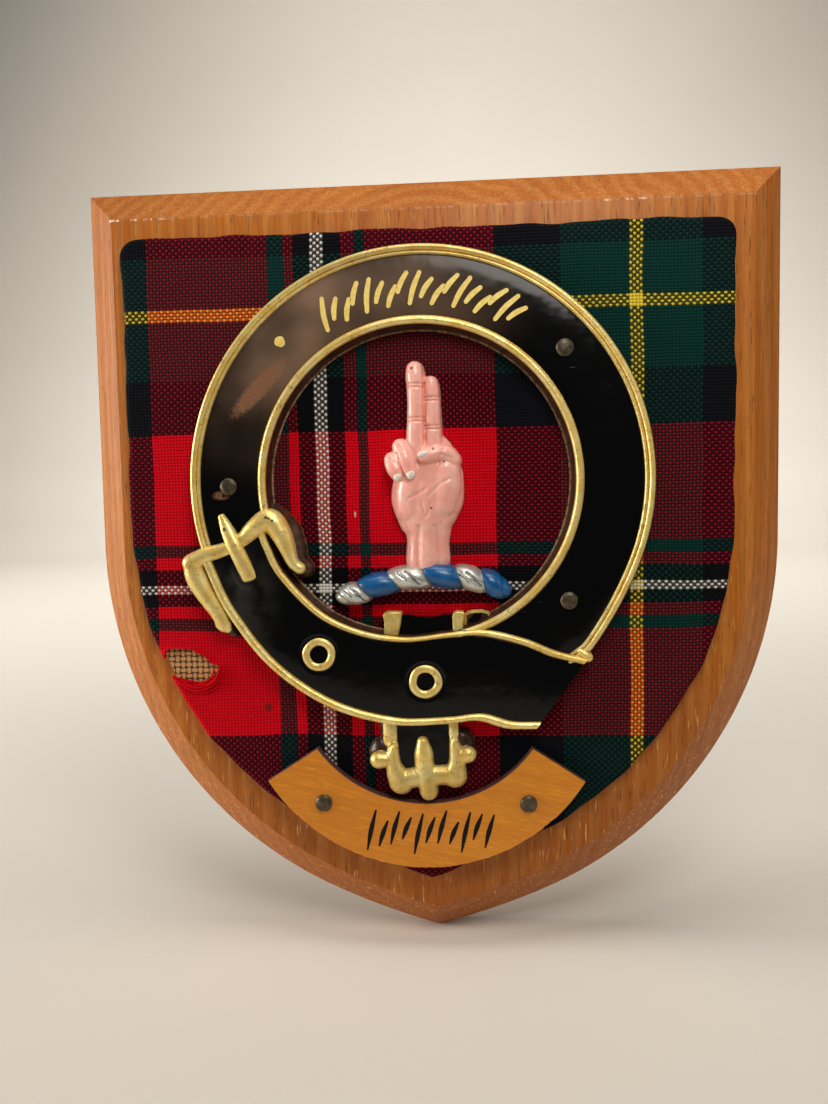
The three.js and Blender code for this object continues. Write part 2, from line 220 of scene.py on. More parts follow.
def distance_to(points, line):
    """How far each point is, seen from the front, from a line of straight lengths."""
    p = np.asarray(points, float)[:, :2]
    line = np.asarray(line, float)[:, :2]
    best = np.full(len(p), 1e9)
    for a, b in zip(line, line[1:]):
        step = b - a
        share = np.clip((p - a) @ step / (step @ step), 0, 1)
        best = np.minimum(best, np.linalg.norm(p - a - share[:, None] * step, axis=1))
    return best


def press(points, line, width, depth):
    """Lowers the front of a skin along a line, deepest on the line itself."""
    away = distance_to(points, line)
    share = np.clip((points[:, 2] - METAL - 1.5) / 2, 0, 1)
    points[:, 2] -= depth * np.exp(-(away / width) ** 2) * share


# %% [markdown]
# ## Shader maths as plain arithmetic
#
# Blender's materials are graphs of nodes. Written out link by link they are hard to read, so a small
# class wraps an output socket and lets Python's own operators add the Math nodes: `1 - mask` or
# `grain * 0.3 + 0.5`. Every other node comes from one method: its type, its settings, then its sockets.

# %% A wire of a node tree
class Wire:
    """An output socket that takes part in arithmetic."""

    def __init__(self, tree, socket=None):
        self.tree, self.socket = tree, socket

    def node(self, kind, settings=None, inputs=None, output=0):
        """A new node of that kind, with settings first and then its sockets; gives one output."""
        made = self.tree.nodes.new(kind)
        for name, value in (settings or {}).items():
            if name == "stops":
                while len(made.color_ramp.elements) < len(value):
                    made.color_ramp.elements.new(0.5)
                for stop, (position, colour) in zip(made.color_ramp.elements, value):
                    stop.position, stop.color = position, colour
            elif name == "interpolation":
                made.color_ramp.interpolation = value
            else:
                setattr(made, name, value)
        for name, value in (inputs or {}).items():
            if isinstance(value, Wire):
                self.tree.links.new(value.socket, made.inputs[name])
            else:
                made.inputs[name].default_value = value
        return Wire(self.tree, made.outputs[output] if made.outputs else None)

    def math(self, operation, *values):
        """A Math node; values are wires or plain numbers."""
        return self.node("ShaderNodeMath", {"operation": operation}, dict(enumerate(values)))

    def __add__(self, other):
        return self.math("ADD", self, other)

    def __sub__(self, other):
        return self.math("SUBTRACT", self, other)

    def __rsub__(self, other):
        return self.math("SUBTRACT", other, self)

    def __mul__(self, other):
        return self.math("MULTIPLY", self, other)

    def __truediv__(self, other):
        return self.math("DIVIDE", self, other)

    def __gt__(self, other):
        return self.math("GREATER_THAN", self, other)

    def __abs__(self):
        return self.math("ABSOLUTE", self)

    __radd__ = __add__
    __rmul__ = __mul__


# %% [markdown]
# A few words for what the finishes share: a colour as the eye reads it on a screen, the place on the
# object in millimetres, noise of a given size, a soft edge between two values, and mixes of colours.

# %% Words for finishes
def colour(red, green, blue):
    """A colour from screen values of 0 to 255, in the linear light that shaders use."""
    share = [v / 255 for v in (red, green, blue)]
    return tuple(v / 12.92 if v <= 0.04045 else ((v + 0.055) / 1.055) ** 2.4 for v in share) + (1.0,)


def place_of(material):
    """The place on the object in millimetres: the vector, and its x, y and z."""
    start = Wire(material.node_tree).node("ShaderNodeTexCoord", output="Object")
    here = start.node("ShaderNodeVectorMath", {"operation": "SCALE"}, {0: start, "Scale": 1000.0})
    parts = [here.node("ShaderNodeSeparateXYZ", inputs={0: here}, output=i) for i in range(3)]
    return here, *parts


def stretch(here, x, y, z):
    """The same place with each direction scaled, which draws a pattern out along the smallest one."""
    return here.node("ShaderNodeVectorMath", {"operation": "MULTIPLY"}, {0: here, 1: (x, y, z)})


def noise(here, size, detail=2.0, rough=0.5):
    """Noise from 0 to 1 whose lumps are about that many millimetres."""
    return here.node("ShaderNodeTexNoise", inputs={
        "Vector": here, "Scale": 1 / size, "Detail": detail, "Roughness": rough})


def soft_step(value, low, high):
    """0 below low, 1 above high, and a smooth change between them."""
    return value.node("ShaderNodeMapRange", {"interpolation_type": "SMOOTHSTEP"}, {
        "Value": value, "From Min": low, "From Max": high})


def mix(mask, first, second):
    """The first colour where the mask is 0 and the second where it is 1."""
    wire = next(v for v in (mask, first, second) if isinstance(v, Wire))
    return wire.node("ShaderNodeMix", {"data_type": "RGBA"}, {0: mask, 6: first, 7: second}, output=2)


def shade(mask, tint, amount):
    """A colour multiplied by a grey that goes from 1 to 1 - amount with the mask."""
    grey = 1 - mask * amount
    both = grey.node("ShaderNodeCombineColor", inputs={0: grey, 1: grey, 2: grey})
    return grey.node("ShaderNodeMix", {"data_type": "RGBA", "blend_type": "MULTIPLY"},
                     {0: 1.0, 6: tint, 7: both}, output=2)


def from_point(x, z, place, width=1.0, height=1.0):
    """The distance from a place on the front, in mm; width and height squeeze the circle."""
    dx, dz = (x - place[0]) / width, (z - place[1]) / height
    return (dx * dx + dz * dz).math("SQRT", dx * dx + dz * dz)


def new_finish(name):
    """An empty material."""
    material = bpy.data.materials.new(name)
    material.use_nodes = True
    material.node_tree.nodes.clear()
    return material


def close_finish(material, base, roughness, height=None, **fixed):
    """The surface itself: base colour, roughness, relief in millimetres, and constants of the shader."""
    wire = Wire(material.node_tree)
    inputs = {"Base Color": base, "Roughness": roughness}
    if height is not None:
        inputs["Normal"] = wire.node("ShaderNodeBump", inputs={
            "Strength": 1.0, "Distance": 0.001, "Height": height})
    inputs.update({name.replace("_", " "): value for name, value in fixed.items()})
    surface = wire.node("ShaderNodeBsdfPrincipled", inputs=inputs)
    wire.node("ShaderNodeOutputMaterial", inputs={0: surface})
    print(material.name, "has", len(material.node_tree.nodes), "nodes")
    return material


# %% [markdown]
# ## Oak
#
# The board is plain-sawn oak with its grain upright. A tree's rings are cylinders, so the same rings
# that run as upright lines on the face turn into slanting curves where the top bevel cuts across them.
# One three-dimensional pattern gives both without any mapping: the distance from the heart of the tree,
# which lay in front of this board. Pores are short dark streaks, rays are pale flecks. The back was
# never varnished, so it is paler and duller.

# %% Oak finish
oak = new_finish("oak_varnished")
here, x, y, z = place_of(oak)
wander = noise(stretch(here, 1, 1, 0.12), 22, 2)
across = x - 8 + wander * 14
deep = y + 46
ring = (across * across + deep * deep).math("SQRT", across * across + deep * deep)
ring_wave = (ring * 1.14).math("SINE", ring * 1.14 + wander * 6) * 0.5 + 0.5
fine_wave = noise(stretch(here, 1, 1, 0.03), 1.1, 3, 0.6)
pores = soft_step(noise(stretch(here, 1, 1, 0.09), 0.55, 2), 0.6, 0.72)
rays = soft_step(noise(stretch(here, 1, 1, 0.13), 1.0, 1), 0.63, 0.74)
low = soft_step(z * -1, -40, 90)
broad = soft_step(noise(stretch(here, 1, 1, 0.3), 30), 0.3, 0.7)
tint = mix(broad, colour(185, 103, 30), colour(198, 114, 34))
tint = mix(soft_step(ring_wave, 0.1, 0.95) * 0.36, tint, colour(214, 145, 72))
tint = mix(soft_step(fine_wave, 0.35, 0.7) * 0.42, tint, colour(128, 72, 34))
# Painted shade: the oak darkens towards the bottom of the board, where less light falls.
tint = mix(soft_step(z * -1, 20, 125) * 0.42, tint, colour(134, 66, 4))
tint = mix(pores * 0.55, tint, colour(92, 48, 22))
tint = mix(rays * (0.25 + low * 0.6), tint, colour(232, 166, 88))
bare_back = soft_step(y, -0.7, -0.2)
tint = mix(bare_back * 0.65, tint, colour(186, 144, 98))
# Pale marks along the top arris of the face: chips all along it and a larger one at the right, and painted
# glints of light at the far left.
arris = (1 - soft_step(abs(z - 114.3), 0.12, 0.5)) * ((y * -1) > 17.2)
chips_and_glints = arris * soft_step(noise(stretch(here, 1, 0.2, 0.2), 2.2, 4, 0.7), 0.46, 0.56)
glint_left = 1 - soft_step(abs(x + 96), 6, 13)
worn_right = 1 - soft_step(abs(x - 62), 4, 9)
chip_and_glint_reach = 0.15 + glint_left + worn_right
tint = mix(chips_and_glints * chip_and_glint_reach.math("MINIMUM", chip_and_glint_reach, 1.0), tint, colour(250, 225, 196))
close_finish(oak, tint, 0.48 + pores * 0.25 + bare_back * 0.3, pores * -0.08 + fine_wave * 0.05,
             Coat_Weight=0.05, Coat_Roughness=0.25, Specular_IOR_Level=0.22)

# %% [markdown]
# ## The board
#
# The outline is the solid's own: straight sides, an arc for each flank and a flatter arc down to the
# tip. The rings of the loft are the same outline set in by different amounts. Close pairs of rings
# round the arrises a little, since sanded and varnished wood never keeps a knife edge.

# %% A shield's outline and the board
BOARD_SHIELD = dict(half_width=114.5, top=126.6, shoulder=7.6, flank=133, turn=65, tip=230, corner=0)
CLOTH_SHIELD = dict(half_width=96.6, top=106.6, shoulder=15, flank=115, turn=60, tip=230, corner=5)


def arc(x, z, radius, start, end, count):
    """Points on a circle about x, z between two angles in degrees."""
    angles = np.radians(np.linspace(start, end, count))
    return np.column_stack([x + radius * np.cos(angles), z + radius * np.sin(angles)])


def shield(half_width, top, shoulder, flank, turn, tip, corner, inset=0.0, shift=0.0):
    """A shield's outline as points from the top right corner down to the tip and up again."""
    lean = math.radians(turn)
    tip_x = half_width - flank + (flank - tip) * math.cos(lean)
    tip_z = shoulder - (flank - tip) * math.sin(lean)
    end = math.degrees(math.acos(-tip_x / (tip - inset)))
    start = [(half_width - inset, top - inset)]
    if corner > inset:
        start = arc(half_width - corner, top - corner, corner - inset, 90, 0, 9)
    side = arc(half_width - flank, shoulder, flank - inset, 0, -turn, 60)
    foot = arc(tip_x, tip_z, tip - inset, -turn, -end, 24)[1:]
    right = np.vstack([start, side, foot])
    return np.vstack([right, right[-2::-1] * (-1, 1)]) + (shift, 0)


profile = [(0.8, -18), (0.25, -17.8), (0, -17.2), (0, -12.4), (0.12, -12), (0.5, -11.5), (11.45, -0.5),
           (11.9, -0.12), (12.4, 0)]
rings = [np.column_stack([o, np.full(len(o), height)])
         for o, height in ((shield(**BOARD_SHIELD, inset=inset), height) for inset, height in profile)]
board = new_piece("oak_shield", *loft(rings), [oak], sharp=25)
settle(board, "oak", "shield_board")

# %% [markdown]
# ## Hardboard under the cloth
#
# A tear at the lower left shows the panel. Its face carries the print of the wire screen it was pressed
# on, which reads as a coarse basket weave. The CAD solid has the right shape, so it keeps its mesh and
# only takes a finish: two crossed waves, one wave over the other in turn.

# %% Hardboard finish
hardboard = new_finish("hardboard_screen_side")
here, x, y, z = place_of(hardboard)
pitch = 1.9
column, row = x / pitch, z / pitch
wide, tall = column.math("FRACT", column) - 0.5, row.math("FRACT", row) - 0.5
turn_about = (column.math("FLOOR", column) + row.math("FLOOR", row)) / 2
odd = turn_about.math("FRACT", turn_about) > 0.25
knot_a = 1 - soft_step(abs(wide) + tall * tall * 0.8, 0.3, 0.5)
knot_b = 1 - soft_step(abs(tall) + wide * wide * 0.8, 0.3, 0.5)
knots = knot_a * odd + knot_b * (1 - odd)
fibres = noise(here, 0.5, 3)
tint = mix(knots, colour(84, 50, 26), colour(216, 160, 102))
tint = mix(soft_step(fibres, 0.45, 0.75) * 0.4, tint, colour(150, 98, 54))
close_finish(hardboard, tint, 0.85, knots * 0.5 + fibres * 0.1)
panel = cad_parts["backing_panel"]
panel.data.materials.clear()
panel.data.materials.append(hardboard)

# %% [markdown]
# ## Tartan, thread by thread
#
# Tartan is a plain weave: the warp runs upright, the weft across, and at each crossing one of them lies
# on top, in a chequer. Its colours are just two lists of stripes. So the shader finds which warp and
# which weft thread a point belongs to, reads both colours, and shows the one on top. Where both are red
# the cloth glows; where red crosses black it turns to dark wine.

# %% The two lists of stripes
THREAD_X, THREAD_Z = 1.07, 1.0
TABLE_START = -110.0
RED = colour(238, 5, 30)
NAVY = colour(17, 19, 26)
BLACK = colour(12, 10, 12)
GREEN = colour(10, 56, 50)
YELLOW = colour(252, 234, 70)
WHITE = colour(255, 248, 240)
WARP = [(-89.8, NAVY), (-50.4, RED), (-45.3, GREEN), (-41.4, RED), (-36.3, BLACK), (-32.1, WHITE),
        (-27.4, BLACK), (-23.2, RED), (-19.1, GREEN), (21.1, RED), (41.1, NAVY), (62.1, GREEN),
        (66.2, YELLOW), (85.5, GREEN), (110.0, NAVY)]
WEFT = [(-55.8, NAVY), (-20.5, RED), (-16.5, GREEN), (-12.6, RED), (-8.6, BLACK), (-4.9, WHITE),
        (-0.6, BLACK), (3.3, RED), (7.6, GREEN), (43.6, RED), (60.7, NAVY), (79.8, GREEN), (83.9, YELLOW),
        (99.8, GREEN), (120.0, NAVY)]


def stripes(threads, table, pitch):
    """The colour of a thread from its number, with hard changes between the stripes of a table."""
    span = table[-1][0] - TABLE_START
    share = (threads * pitch + (pitch / 2 - TABLE_START)) / span
    edges = [0.0] + [(limit - TABLE_START) / span for limit, _ in table[:-1]]
    stops = [(edge, tint) for edge, (_, tint) in zip(edges, table)]
    return share.node("ShaderNodeValToRGB", {"interpolation": "CONSTANT", "stops": stops}, {0: share})


# %% [markdown]
# The eye also needs the threads' own roundness. Each thread dives under and rises over its neighbours
# like a wave, and falls off towards its sides; where a warp thread stands higher than the weft, it
# shows. That gives oval floats that reach a little over the crossing, as real ones do. Red yarn over
# dark yarn loses much of its glow, and yellow beside red looks orange, because light goes from one yarn
# into the next.

# %% Tartan finish
def split(tint):
    """The red, green and blue of a colour."""
    return [tint.node("ShaderNodeSeparateColor", inputs={0: tint}, output=i) for i in range(3)]


def clamp(value):
    """The value kept between 0 and 1."""
    return value.node("ShaderNodeClamp", inputs={0: value})


tartan = new_finish("tartan_cloth_finish")
here, x, y, z = place_of(tartan)
column = (x + (noise(here, 26, 1) - 0.5) * 1.6) / THREAD_X
row = (z + (noise(stretch(here, 1, 1, 1.2), 31, 1) - 0.5) * 1.8) / THREAD_Z
warp_number, weft_number = column.math("FLOOR", column), row.math("FLOOR", row)
wide, tall = column.math("FRACT", column) - 0.5, row.math("FRACT", row) - 0.5
warp_wave = (row + warp_number) * math.pi
weft_wave = (column + weft_number) * math.pi
warp_lift = warp_wave.math("SINE", warp_wave) - wide * wide * 5.5
weft_lift = 0.0 - weft_wave.math("SINE", weft_wave) - tall * tall * 5.5
warp_on_top = warp_lift.math("GREATER_THAN", warp_lift, weft_lift)
lift = warp_lift.math("MAXIMUM", warp_lift, weft_lift)
warp_tint = stripes(warp_number, WARP, THREAD_X)
weft_tint = stripes(weft_number, WEFT, THREAD_Z)
own, other = mix(warp_on_top, weft_tint, warp_tint), mix(warp_on_top, warp_tint, weft_tint)
own_red, own_green, own_blue = split(own)
other_red, other_green, other_blue = split(other)
dulled = clamp((own_red - own_green) * 1.7) * (1 - clamp(other_red * 1.8))
lit_orange = clamp((own_green - own_blue) * 1.6) * clamp((other_red - other_green) * 1.8)
deep_orange = clamp((other_green - other_blue) * 1.6) * clamp((own_red - own_green) * 1.8)
deep_orange = deep_orange * (1 - clamp(own_green * 4))
fluff = noise(here, 0.35, 2)
depth_shade = 1 - soft_step(lift, -0.35, 0.75)
alike = 1 - clamp((abs(own_red - other_red) + abs(own_green - other_green)) * 3)
tint = mix(0.08, own, other)
tint = mix(dulled * 0.82, tint, colour(118, 18, 44))
tint = mix(lit_orange * 0.8, tint, colour(255, 158, 66))
tint = mix(deep_orange * 0.6, tint, colour(255, 78, 22))
tint = shade(depth_shade, tint, 0.8 - alike * 0.48)
tint = shade(clamp((other_red - own_red - 0.2) * 2) * (1 - clamp(own_green * 3)), tint, 0.35)
tint = shade(soft_step(fluff, 0.35, 0.7), tint, 0.26)
stain = 1 - soft_step(from_point(x, z, (-54.2, -45.5)), 0.6, 2.0)
tint = mix(stain * soft_step(fluff, 0.25, 0.6), tint, colour(56, 34, 26))
fleck = 1 - soft_step(from_point(x, z, (-24.0, 17.4), 0.4, 1.3), 0.5, 0.9)
tint = mix(fleck, tint, colour(232, 196, 170))
close_finish(tartan, tint, 0.9, lift * 0.16 + fluff * 0.08, Specular_IOR_Level=0.08)

# %% [markdown]
# ## The cloth
#
# The cloth is stretched over the panel and turned round its edge, so it is flat in the middle, rolls
# over the edge in a soft curve and runs a little wavy. A Delaunay triangulation is a good way to mesh
# such a sheet: it takes the outline and the torn edge as lines that the triangles must follow, and any
# scatter of points between them. The tear reaches the edge, and its rim is lifted and ragged.

# %% Outline and tear of the cloth
def evenly(outline, step):
    """A closed outline as points a step apart."""
    ring = np.vstack([outline, outline[:1]])
    run = np.concatenate([[0], np.cumsum(np.linalg.norm(np.diff(ring, axis=0), axis=1))])
    even = np.arange(0, run[-1] - step / 2, step)
    return np.column_stack([np.interp(even, run, ring[:, k]) for k in range(2)])


def waves(count, periods, seed):
    """A smooth unevenness round a closed line, about -1 to 1."""
    chance = np.random.default_rng(seed)
    share = np.linspace(0, 2 * np.pi, count, endpoint=False)
    sizes = chance.uniform(0.5, 1.0, len(periods))
    parts = [s * np.sin(p * share + chance.uniform(0, 6.28)) for s, p in zip(sizes, periods)]
    return np.sum(parts, axis=0) / len(periods) * 1.4


edge = evenly(shield(**CLOTH_SHIELD, shift=-1.3), 1.2)
step_in = np.roll(edge, -1, axis=0) - np.roll(edge, 1, axis=0)
inward = np.column_stack([step_in[:, 1], -step_in[:, 0]]) / np.linalg.norm(step_in, axis=1)[:, None]
unevenness = 0.2 - 0.55 * waves(len(edge), (9, 17, 31, 52), 5)
edge -= inward * unevenness[:, None]

chance = np.random.default_rng(11)
tear = evenly(np.array([
    (-96, -31.6), (-90.2, -30.4), (-88.8, -28.9), (-88.2, -26.6), (-86.4, -25.8), (-83.9, -25.7),
    (-79.8, -26.1), (-75.2, -28.4), (-72.9, -30.8), (-70.1, -31.5), (-70.5, -33.5), (-73.1, -35.8),
    (-77.2, -37.1), (-80.9, -36.4), (-85, -35.4), (-94, -36)]), 0.55)
tear += chance.normal(0, 0.16, tear.shape)
print("outline of", len(edge), "points, tear of", len(tear))

# %% The cloth's mesh
def inside(points, outline):
    """Which points lie inside a closed outline."""
    p = np.asarray(points, float)
    within = np.zeros(len(p), bool)
    for a, b in zip(outline, np.roll(outline, -1, axis=0)):
        crosses = (a[1] > p[:, 1]) != (b[1] > p[:, 1])
        if crosses.any():
            at = a[0] + (p[:, 1] - a[1]) * (b[0] - a[0]) / (b[1] - a[1] + 1e-12)
            within ^= crosses & (p[:, 0] < at)
    return within


closed_edge = np.vstack([edge, edge[:1]])
grid = np.stack(np.meshgrid(np.arange(-99, 97, 2.0), np.arange(-105, 108, 2.0)), -1).reshape(-1, 2)
grid = grid[inside(grid, edge) & (distance_to(grid, closed_edge) > 1.9)]
near = np.stack(np.meshgrid(np.arange(-97, -64, 0.7), np.arange(-42, -20, 0.7)), -1).reshape(-1, 2)
near = near[inside(near, edge) & (distance_to(near, closed_edge) > 1.7) & ~inside(near, tear)]
inner_rings = []
for depth in (0.35, 0.9, 1.5):
    inner = edge + inward * depth
    inner_rings.append(inner[distance_to(inner, closed_edge) > depth * 0.9])
scatter = np.vstack([edge, tear, *inner_rings, grid, near])
lines = [(i, (i + 1) % len(edge)) for i in range(len(edge))]
lines += [(len(edge) + i, len(edge) + (i + 1) % len(tear)) for i in range(len(tear))]
made = geometry.delaunay_2d_cdt([Vector(p) for p in scatter.tolist()], lines, [], 0, 1e-4)
flat = np.array([tuple(v) for v in made[0]])
triangles = np.array([tuple(f) for f in made[2]])
centres = flat[triangles].mean(1)
triangles = triangles[inside(centres, edge) & ~inside(centres, tear)]
from_edge = distance_to(flat, closed_edge)
from_tear = distance_to(flat, np.vstack([tear, tear[:1]]))
height = CLOTH - 0.75 * np.clip(1 - from_edge / 1.2, 0, 1) ** 2
height += 0.35 * np.exp(-(from_tear / 0.9) ** 2) * np.clip(from_edge / 3, 0, 1)
height += 0.06 * np.sin(flat[:, 0] * 0.21 + 1.3) * np.sin(flat[:, 1] * 0.17) * np.clip(from_edge / 4, 0, 1)
points = np.column_stack([flat, height])

# %% [markdown]
# The boundary edges of the triangulation are the cloth's edge and the tear. The skirt continues the
# outline down the side of the panel; the rim of the tear only goes down by the thickness of the cloth.

# %% Skirt and rim
pairs = {}
for a, b, c in triangles.tolist():
    for one, two in ((a, b), (b, c), (c, a)):
        pairs.setdefault(frozenset((one, two)), []).append((one, two))
faces = triangles.tolist()
points = points.tolist()
lower = {}
for found in pairs.values():
    if len(found) > 1:
        continue
    one, two = found[0]
    for i in (one, two):
        if i not in lower:
            x0, z0, _ = points[i]
            down = 0.35 if from_edge[i] < 0.2 else CLOTH - 0.65
            lower[i] = len(points)
            points.append((x0, z0, down))
    faces.append((two, one, lower[one], lower[two]))
used = sorted({i for f in faces for i in f})
renumber = {old: new for new, old in enumerate(used)}
cloth_faces = [tuple(renumber[i] for i in f) for f in faces]
cloth_points = np.array(points)[used]
cloth = new_piece("tartan_sheet", cloth_points, cloth_faces, [tartan], sharp=60)
settle(cloth, "tartan", "tartan_cloth")
before = np.roll(edge, 1, axis=0)
shown_area = 0.5 * abs(edge[:, 0] @ before[:, 1] - edge[:, 1] @ before[:, 0])
print("the cloth shows", round(shown_area), "square mm on its face")

# %% [markdown]
# Loose red yarns lie along the lower rim of the tear and one stands up at its end. Each is a thin tube
# along a smooth line.

# %% Frayed yarns
def tube(line, radius, sides=6):
    """A thin round tube along points of x, z and height."""
    line = np.asarray(line, float)
    along = np.gradient(line, axis=0)
    along /= np.linalg.norm(along, axis=1)[:, None]
    side = np.cross(along, (0.1, 0.2, 1.0))
    side /= np.linalg.norm(side, axis=1)[:, None]
    up = np.cross(side, along)
    turns = np.linspace(0, 2 * np.pi, sides, endpoint=False)
    return loft([p + radius * (np.outer(np.cos(turns), s) + np.outer(np.sin(turns), u))
                 for p, s, u in zip(line, side, up)])


def gather(bodies):
    """Several separate bodies as one list of points and faces."""
    points, faces, first = [], [], 0
    for p, f in bodies:
        points.append(p)
        faces += [tuple(i + first for i in face) for face in f]
        first += len(p)
    return np.vstack(points), faces


yarn = new_finish("red_yarn")
here = place_of(yarn)[0]
twist = noise(here, 0.4, 2)
close_finish(yarn, mix(twist, colour(168, 3, 16), colour(244, 10, 30)), 0.95, twist * 0.1,
             Specular_IOR_Level=0.08)
chance = np.random.default_rng(3)
yarns = []
roll = np.array([(-84.0, -35.8, 4.7), (-81.4, -37.8, 4.9), (-77.9, -38.8, 5.1), (-74.4, -38.3, 5.1),
                 (-71.9, -36.8, 5.0), (-70.5, -34.8, 4.9), (-69.8, -32.6, 4.7)])
for i in range(16):
    shift = chance.normal(0, 0.55, 3) * (1, 1, 0.4)
    lying = roll[i % 3: len(roll) - i % 2] + shift + chance.normal(0, 0.22, 3)
    yarns.append(tube(through(lying, 44), 0.27))
loose_end = [(-71.4, -34.6, 4.8), (-70.2, -33.0, 5.2), (-69.4, -31.0, 5.4), (-69.7, -29.6, 5.1)]
yarns.append(tube(through(loose_end, 24), 0.14))
settle(new_piece("frayed_yarns", *gather(yarns), [yarn], sharp=80), "tartan")

# %% [markdown]
# ## Finishes of the belt
#
# The belt is one metal pressing, painted black inside gold borders, with brown on its upright walls and
# a bright line where the metal was cut. The gold is mottled with orange, specked with black and duller
# at its top and foot; the black is brown and dusty at the upper left, where a patch is worn to copper.
# That brown haze is partly dust and partly a painted sheen of reflected light, and a grey painted sheen
# lies on the strap beside the prong.

# %% Gold, black, brown and the cut edge
gold = new_finish("gold_paint")
here, x, y, z = place_of(gold)
blotch, grain = noise(here, 5, 3), noise(here, 0.9, 3, 0.6)
tint = mix(soft_step(blotch, 0.3, 0.7), colour(242, 206, 112), colour(255, 233, 154))
tint = mix(soft_step(grain, 0.56, 0.72) * 0.45, tint, colour(190, 124, 56))
tint = mix(soft_step(noise(here, 2.4, 4, 0.7), 0.58, 0.7) * 0.55, tint, colour(138, 92, 42))
specks = soft_step(noise(here, 0.7, 1), 0.72, 0.78)
for spot, size in (((-64.9, 13.4), 0.8), ((-51.2, 17.0), 0.6), ((-50.3, 16.7), 0.5),
                   ((-49.2, 16.0), 0.5), ((-46.6, -0.2), 0.45)):
    specks = specks.math("MAXIMUM", specks, 1 - soft_step(from_point(x, z, spot), size * 0.7, size))
tint = mix(soft_step(z * -1, 58, 73) * 0.4, tint, colour(134, 106, 50))
tint = mix(soft_step(z, 84, 98) * 0.3, tint, colour(128, 84, 36))
tint = mix(specks * 0.85, tint, colour(34, 24, 18))
chip = (1 - soft_step(from_point(x, z, (-79.2, -1.0), 0.8, 1.6), 0.9, 1.6)) * soft_step(grain, 0.42, 0.5)
tint = mix(chip, tint, colour(196, 204, 176))
close_finish(gold, tint, 0.27 + grain * 0.16, grain * 0.12 + blotch * 0.2, Metallic=0.5)

enamel = new_finish("black_enamel")
here, x, y, z = place_of(enamel)
# Painted sheen: the brown haze at the upper left is partly dust and partly a painted reflection of the
# light.
upper_left = 1 - soft_step(from_point(x, z, (-36, 80), 1.25), 0, 60)
dust_and_sheen = soft_step(noise(here, 24, 2), 0.2, 0.75) * upper_left
tint = mix(dust_and_sheen * 0.8 + upper_left * 0.16, colour(6, 6, 7), colour(140, 111, 90))
# Painted sheen: a grey sheen of reflected light on the strap beside the prong.
sheen_by_prong = 1 - soft_step(from_point(x, z, (-61, -9), 1.0, 1.5), 3, 17)
tint = mix(sheen_by_prong * soft_step(noise(here, 7, 3), 0.25, 0.7) * 0.55, tint, colour(66, 62, 60))
diagonal_x, diagonal_z = (x + 52.9) * 0.71, (z - 57.6) * 0.71
patch_way, patch_side = diagonal_x + diagonal_z, diagonal_x - diagonal_z
patch = 1 - soft_step(from_point(patch_way, patch_side, (0, 0), 14, 3.4), 0.55, 1.1)
rubbed = patch * soft_step(noise(here, 0.9, 4, 0.75) + patch * 0.14, 0.42, 0.66)
tint = mix(rubbed, tint, colour(136, 92, 62))
dust = soft_step(noise(here, 0.5, 2), 0.73, 0.78)
tint = mix(dust * (upper_left * 0.55 + 0.06), tint, colour(196, 172, 140))
brown_stain = 1 - soft_step(from_point(x, z, (-66, 24.2), 2.2, 1.1), 0.6, 1.6)
tint = mix(brown_stain * soft_step(noise(here, 1.1, 3), 0.3, 0.55) * 0.8, tint, colour(140, 98, 70))
scratch = soft_step(noise(stretch(here, 0.15, 1, 1), 0.8, 2), 0.7, 0.78)
dimples = None
for spot in EYELETS:
    away = from_point(x, z, spot)
    dip = 1 - soft_step(abs(away - 5.7), 0.0, 1.1)
    dimples = dip if dimples is None else dimples + dip
end_x, end_z = x + 59.4, z + 0.4
pocket_way = end_x * 0.32 - end_z * 0.947
pocket_side = end_x * 0.947 + end_z * 0.32
pocket = 1 - soft_step(abs(from_point(pocket_way, pocket_side, (0, 0), 6.2, 3.9) - 1.0), 0.0, 0.3)
close_finish(enamel, tint, 0.17 + upper_left * 0.16 + rubbed * 0.35 + dust * 0.3,
             dimples * -0.25 + pocket * -0.3 + noise(here, 9, 2) * 0.3 + rubbed * -0.1 + scratch * 0.02,
             Specular_IOR_Level=0.22)

brown = new_finish("brown_enamel_wall")
here = place_of(brown)[0]
mottle = noise(here, 2.2, 3)
close_finish(brown, mix(soft_step(mottle, 0.3, 0.75), colour(42, 23, 16), colour(84, 50, 31)), 0.34,
             mottle * 0.2)

cut_edge = new_finish("cut_metal_edge")
here = place_of(cut_edge)[0]
nicks = noise(here, 1.2, 3)
close_finish(cut_edge, mix(soft_step(nicks, 0.4, 0.7), colour(172, 140, 104), colour(96, 66, 46)), 0.4,
             nicks * 0.1, Metallic=0.5)

# %% [markdown]
# ## The belt's section
#
# A section drawn once and carried along two edge lines makes the whole belt. Each corner of the section
# is a share of the belt's width, a distance from there and a height, so the borders keep their width
# while the band between them stretches. Each strip between two corners has its own finish.

# %% Belt section and band
GOLD, BLACK_BAND, BROWN, CUT = 0, 1, 2, 3
BELT_FINISHES = [gold, enamel, brown, cut_edge]


def bead(share, start, width, base, rise, count):
    """Corners of a round rib of the section, half an ellipse across."""
    angles = np.linspace(0, math.pi, count)
    return [(share, start + width * (1 - math.cos(a)) / 2, base + rise * math.sin(a)) for a in angles]


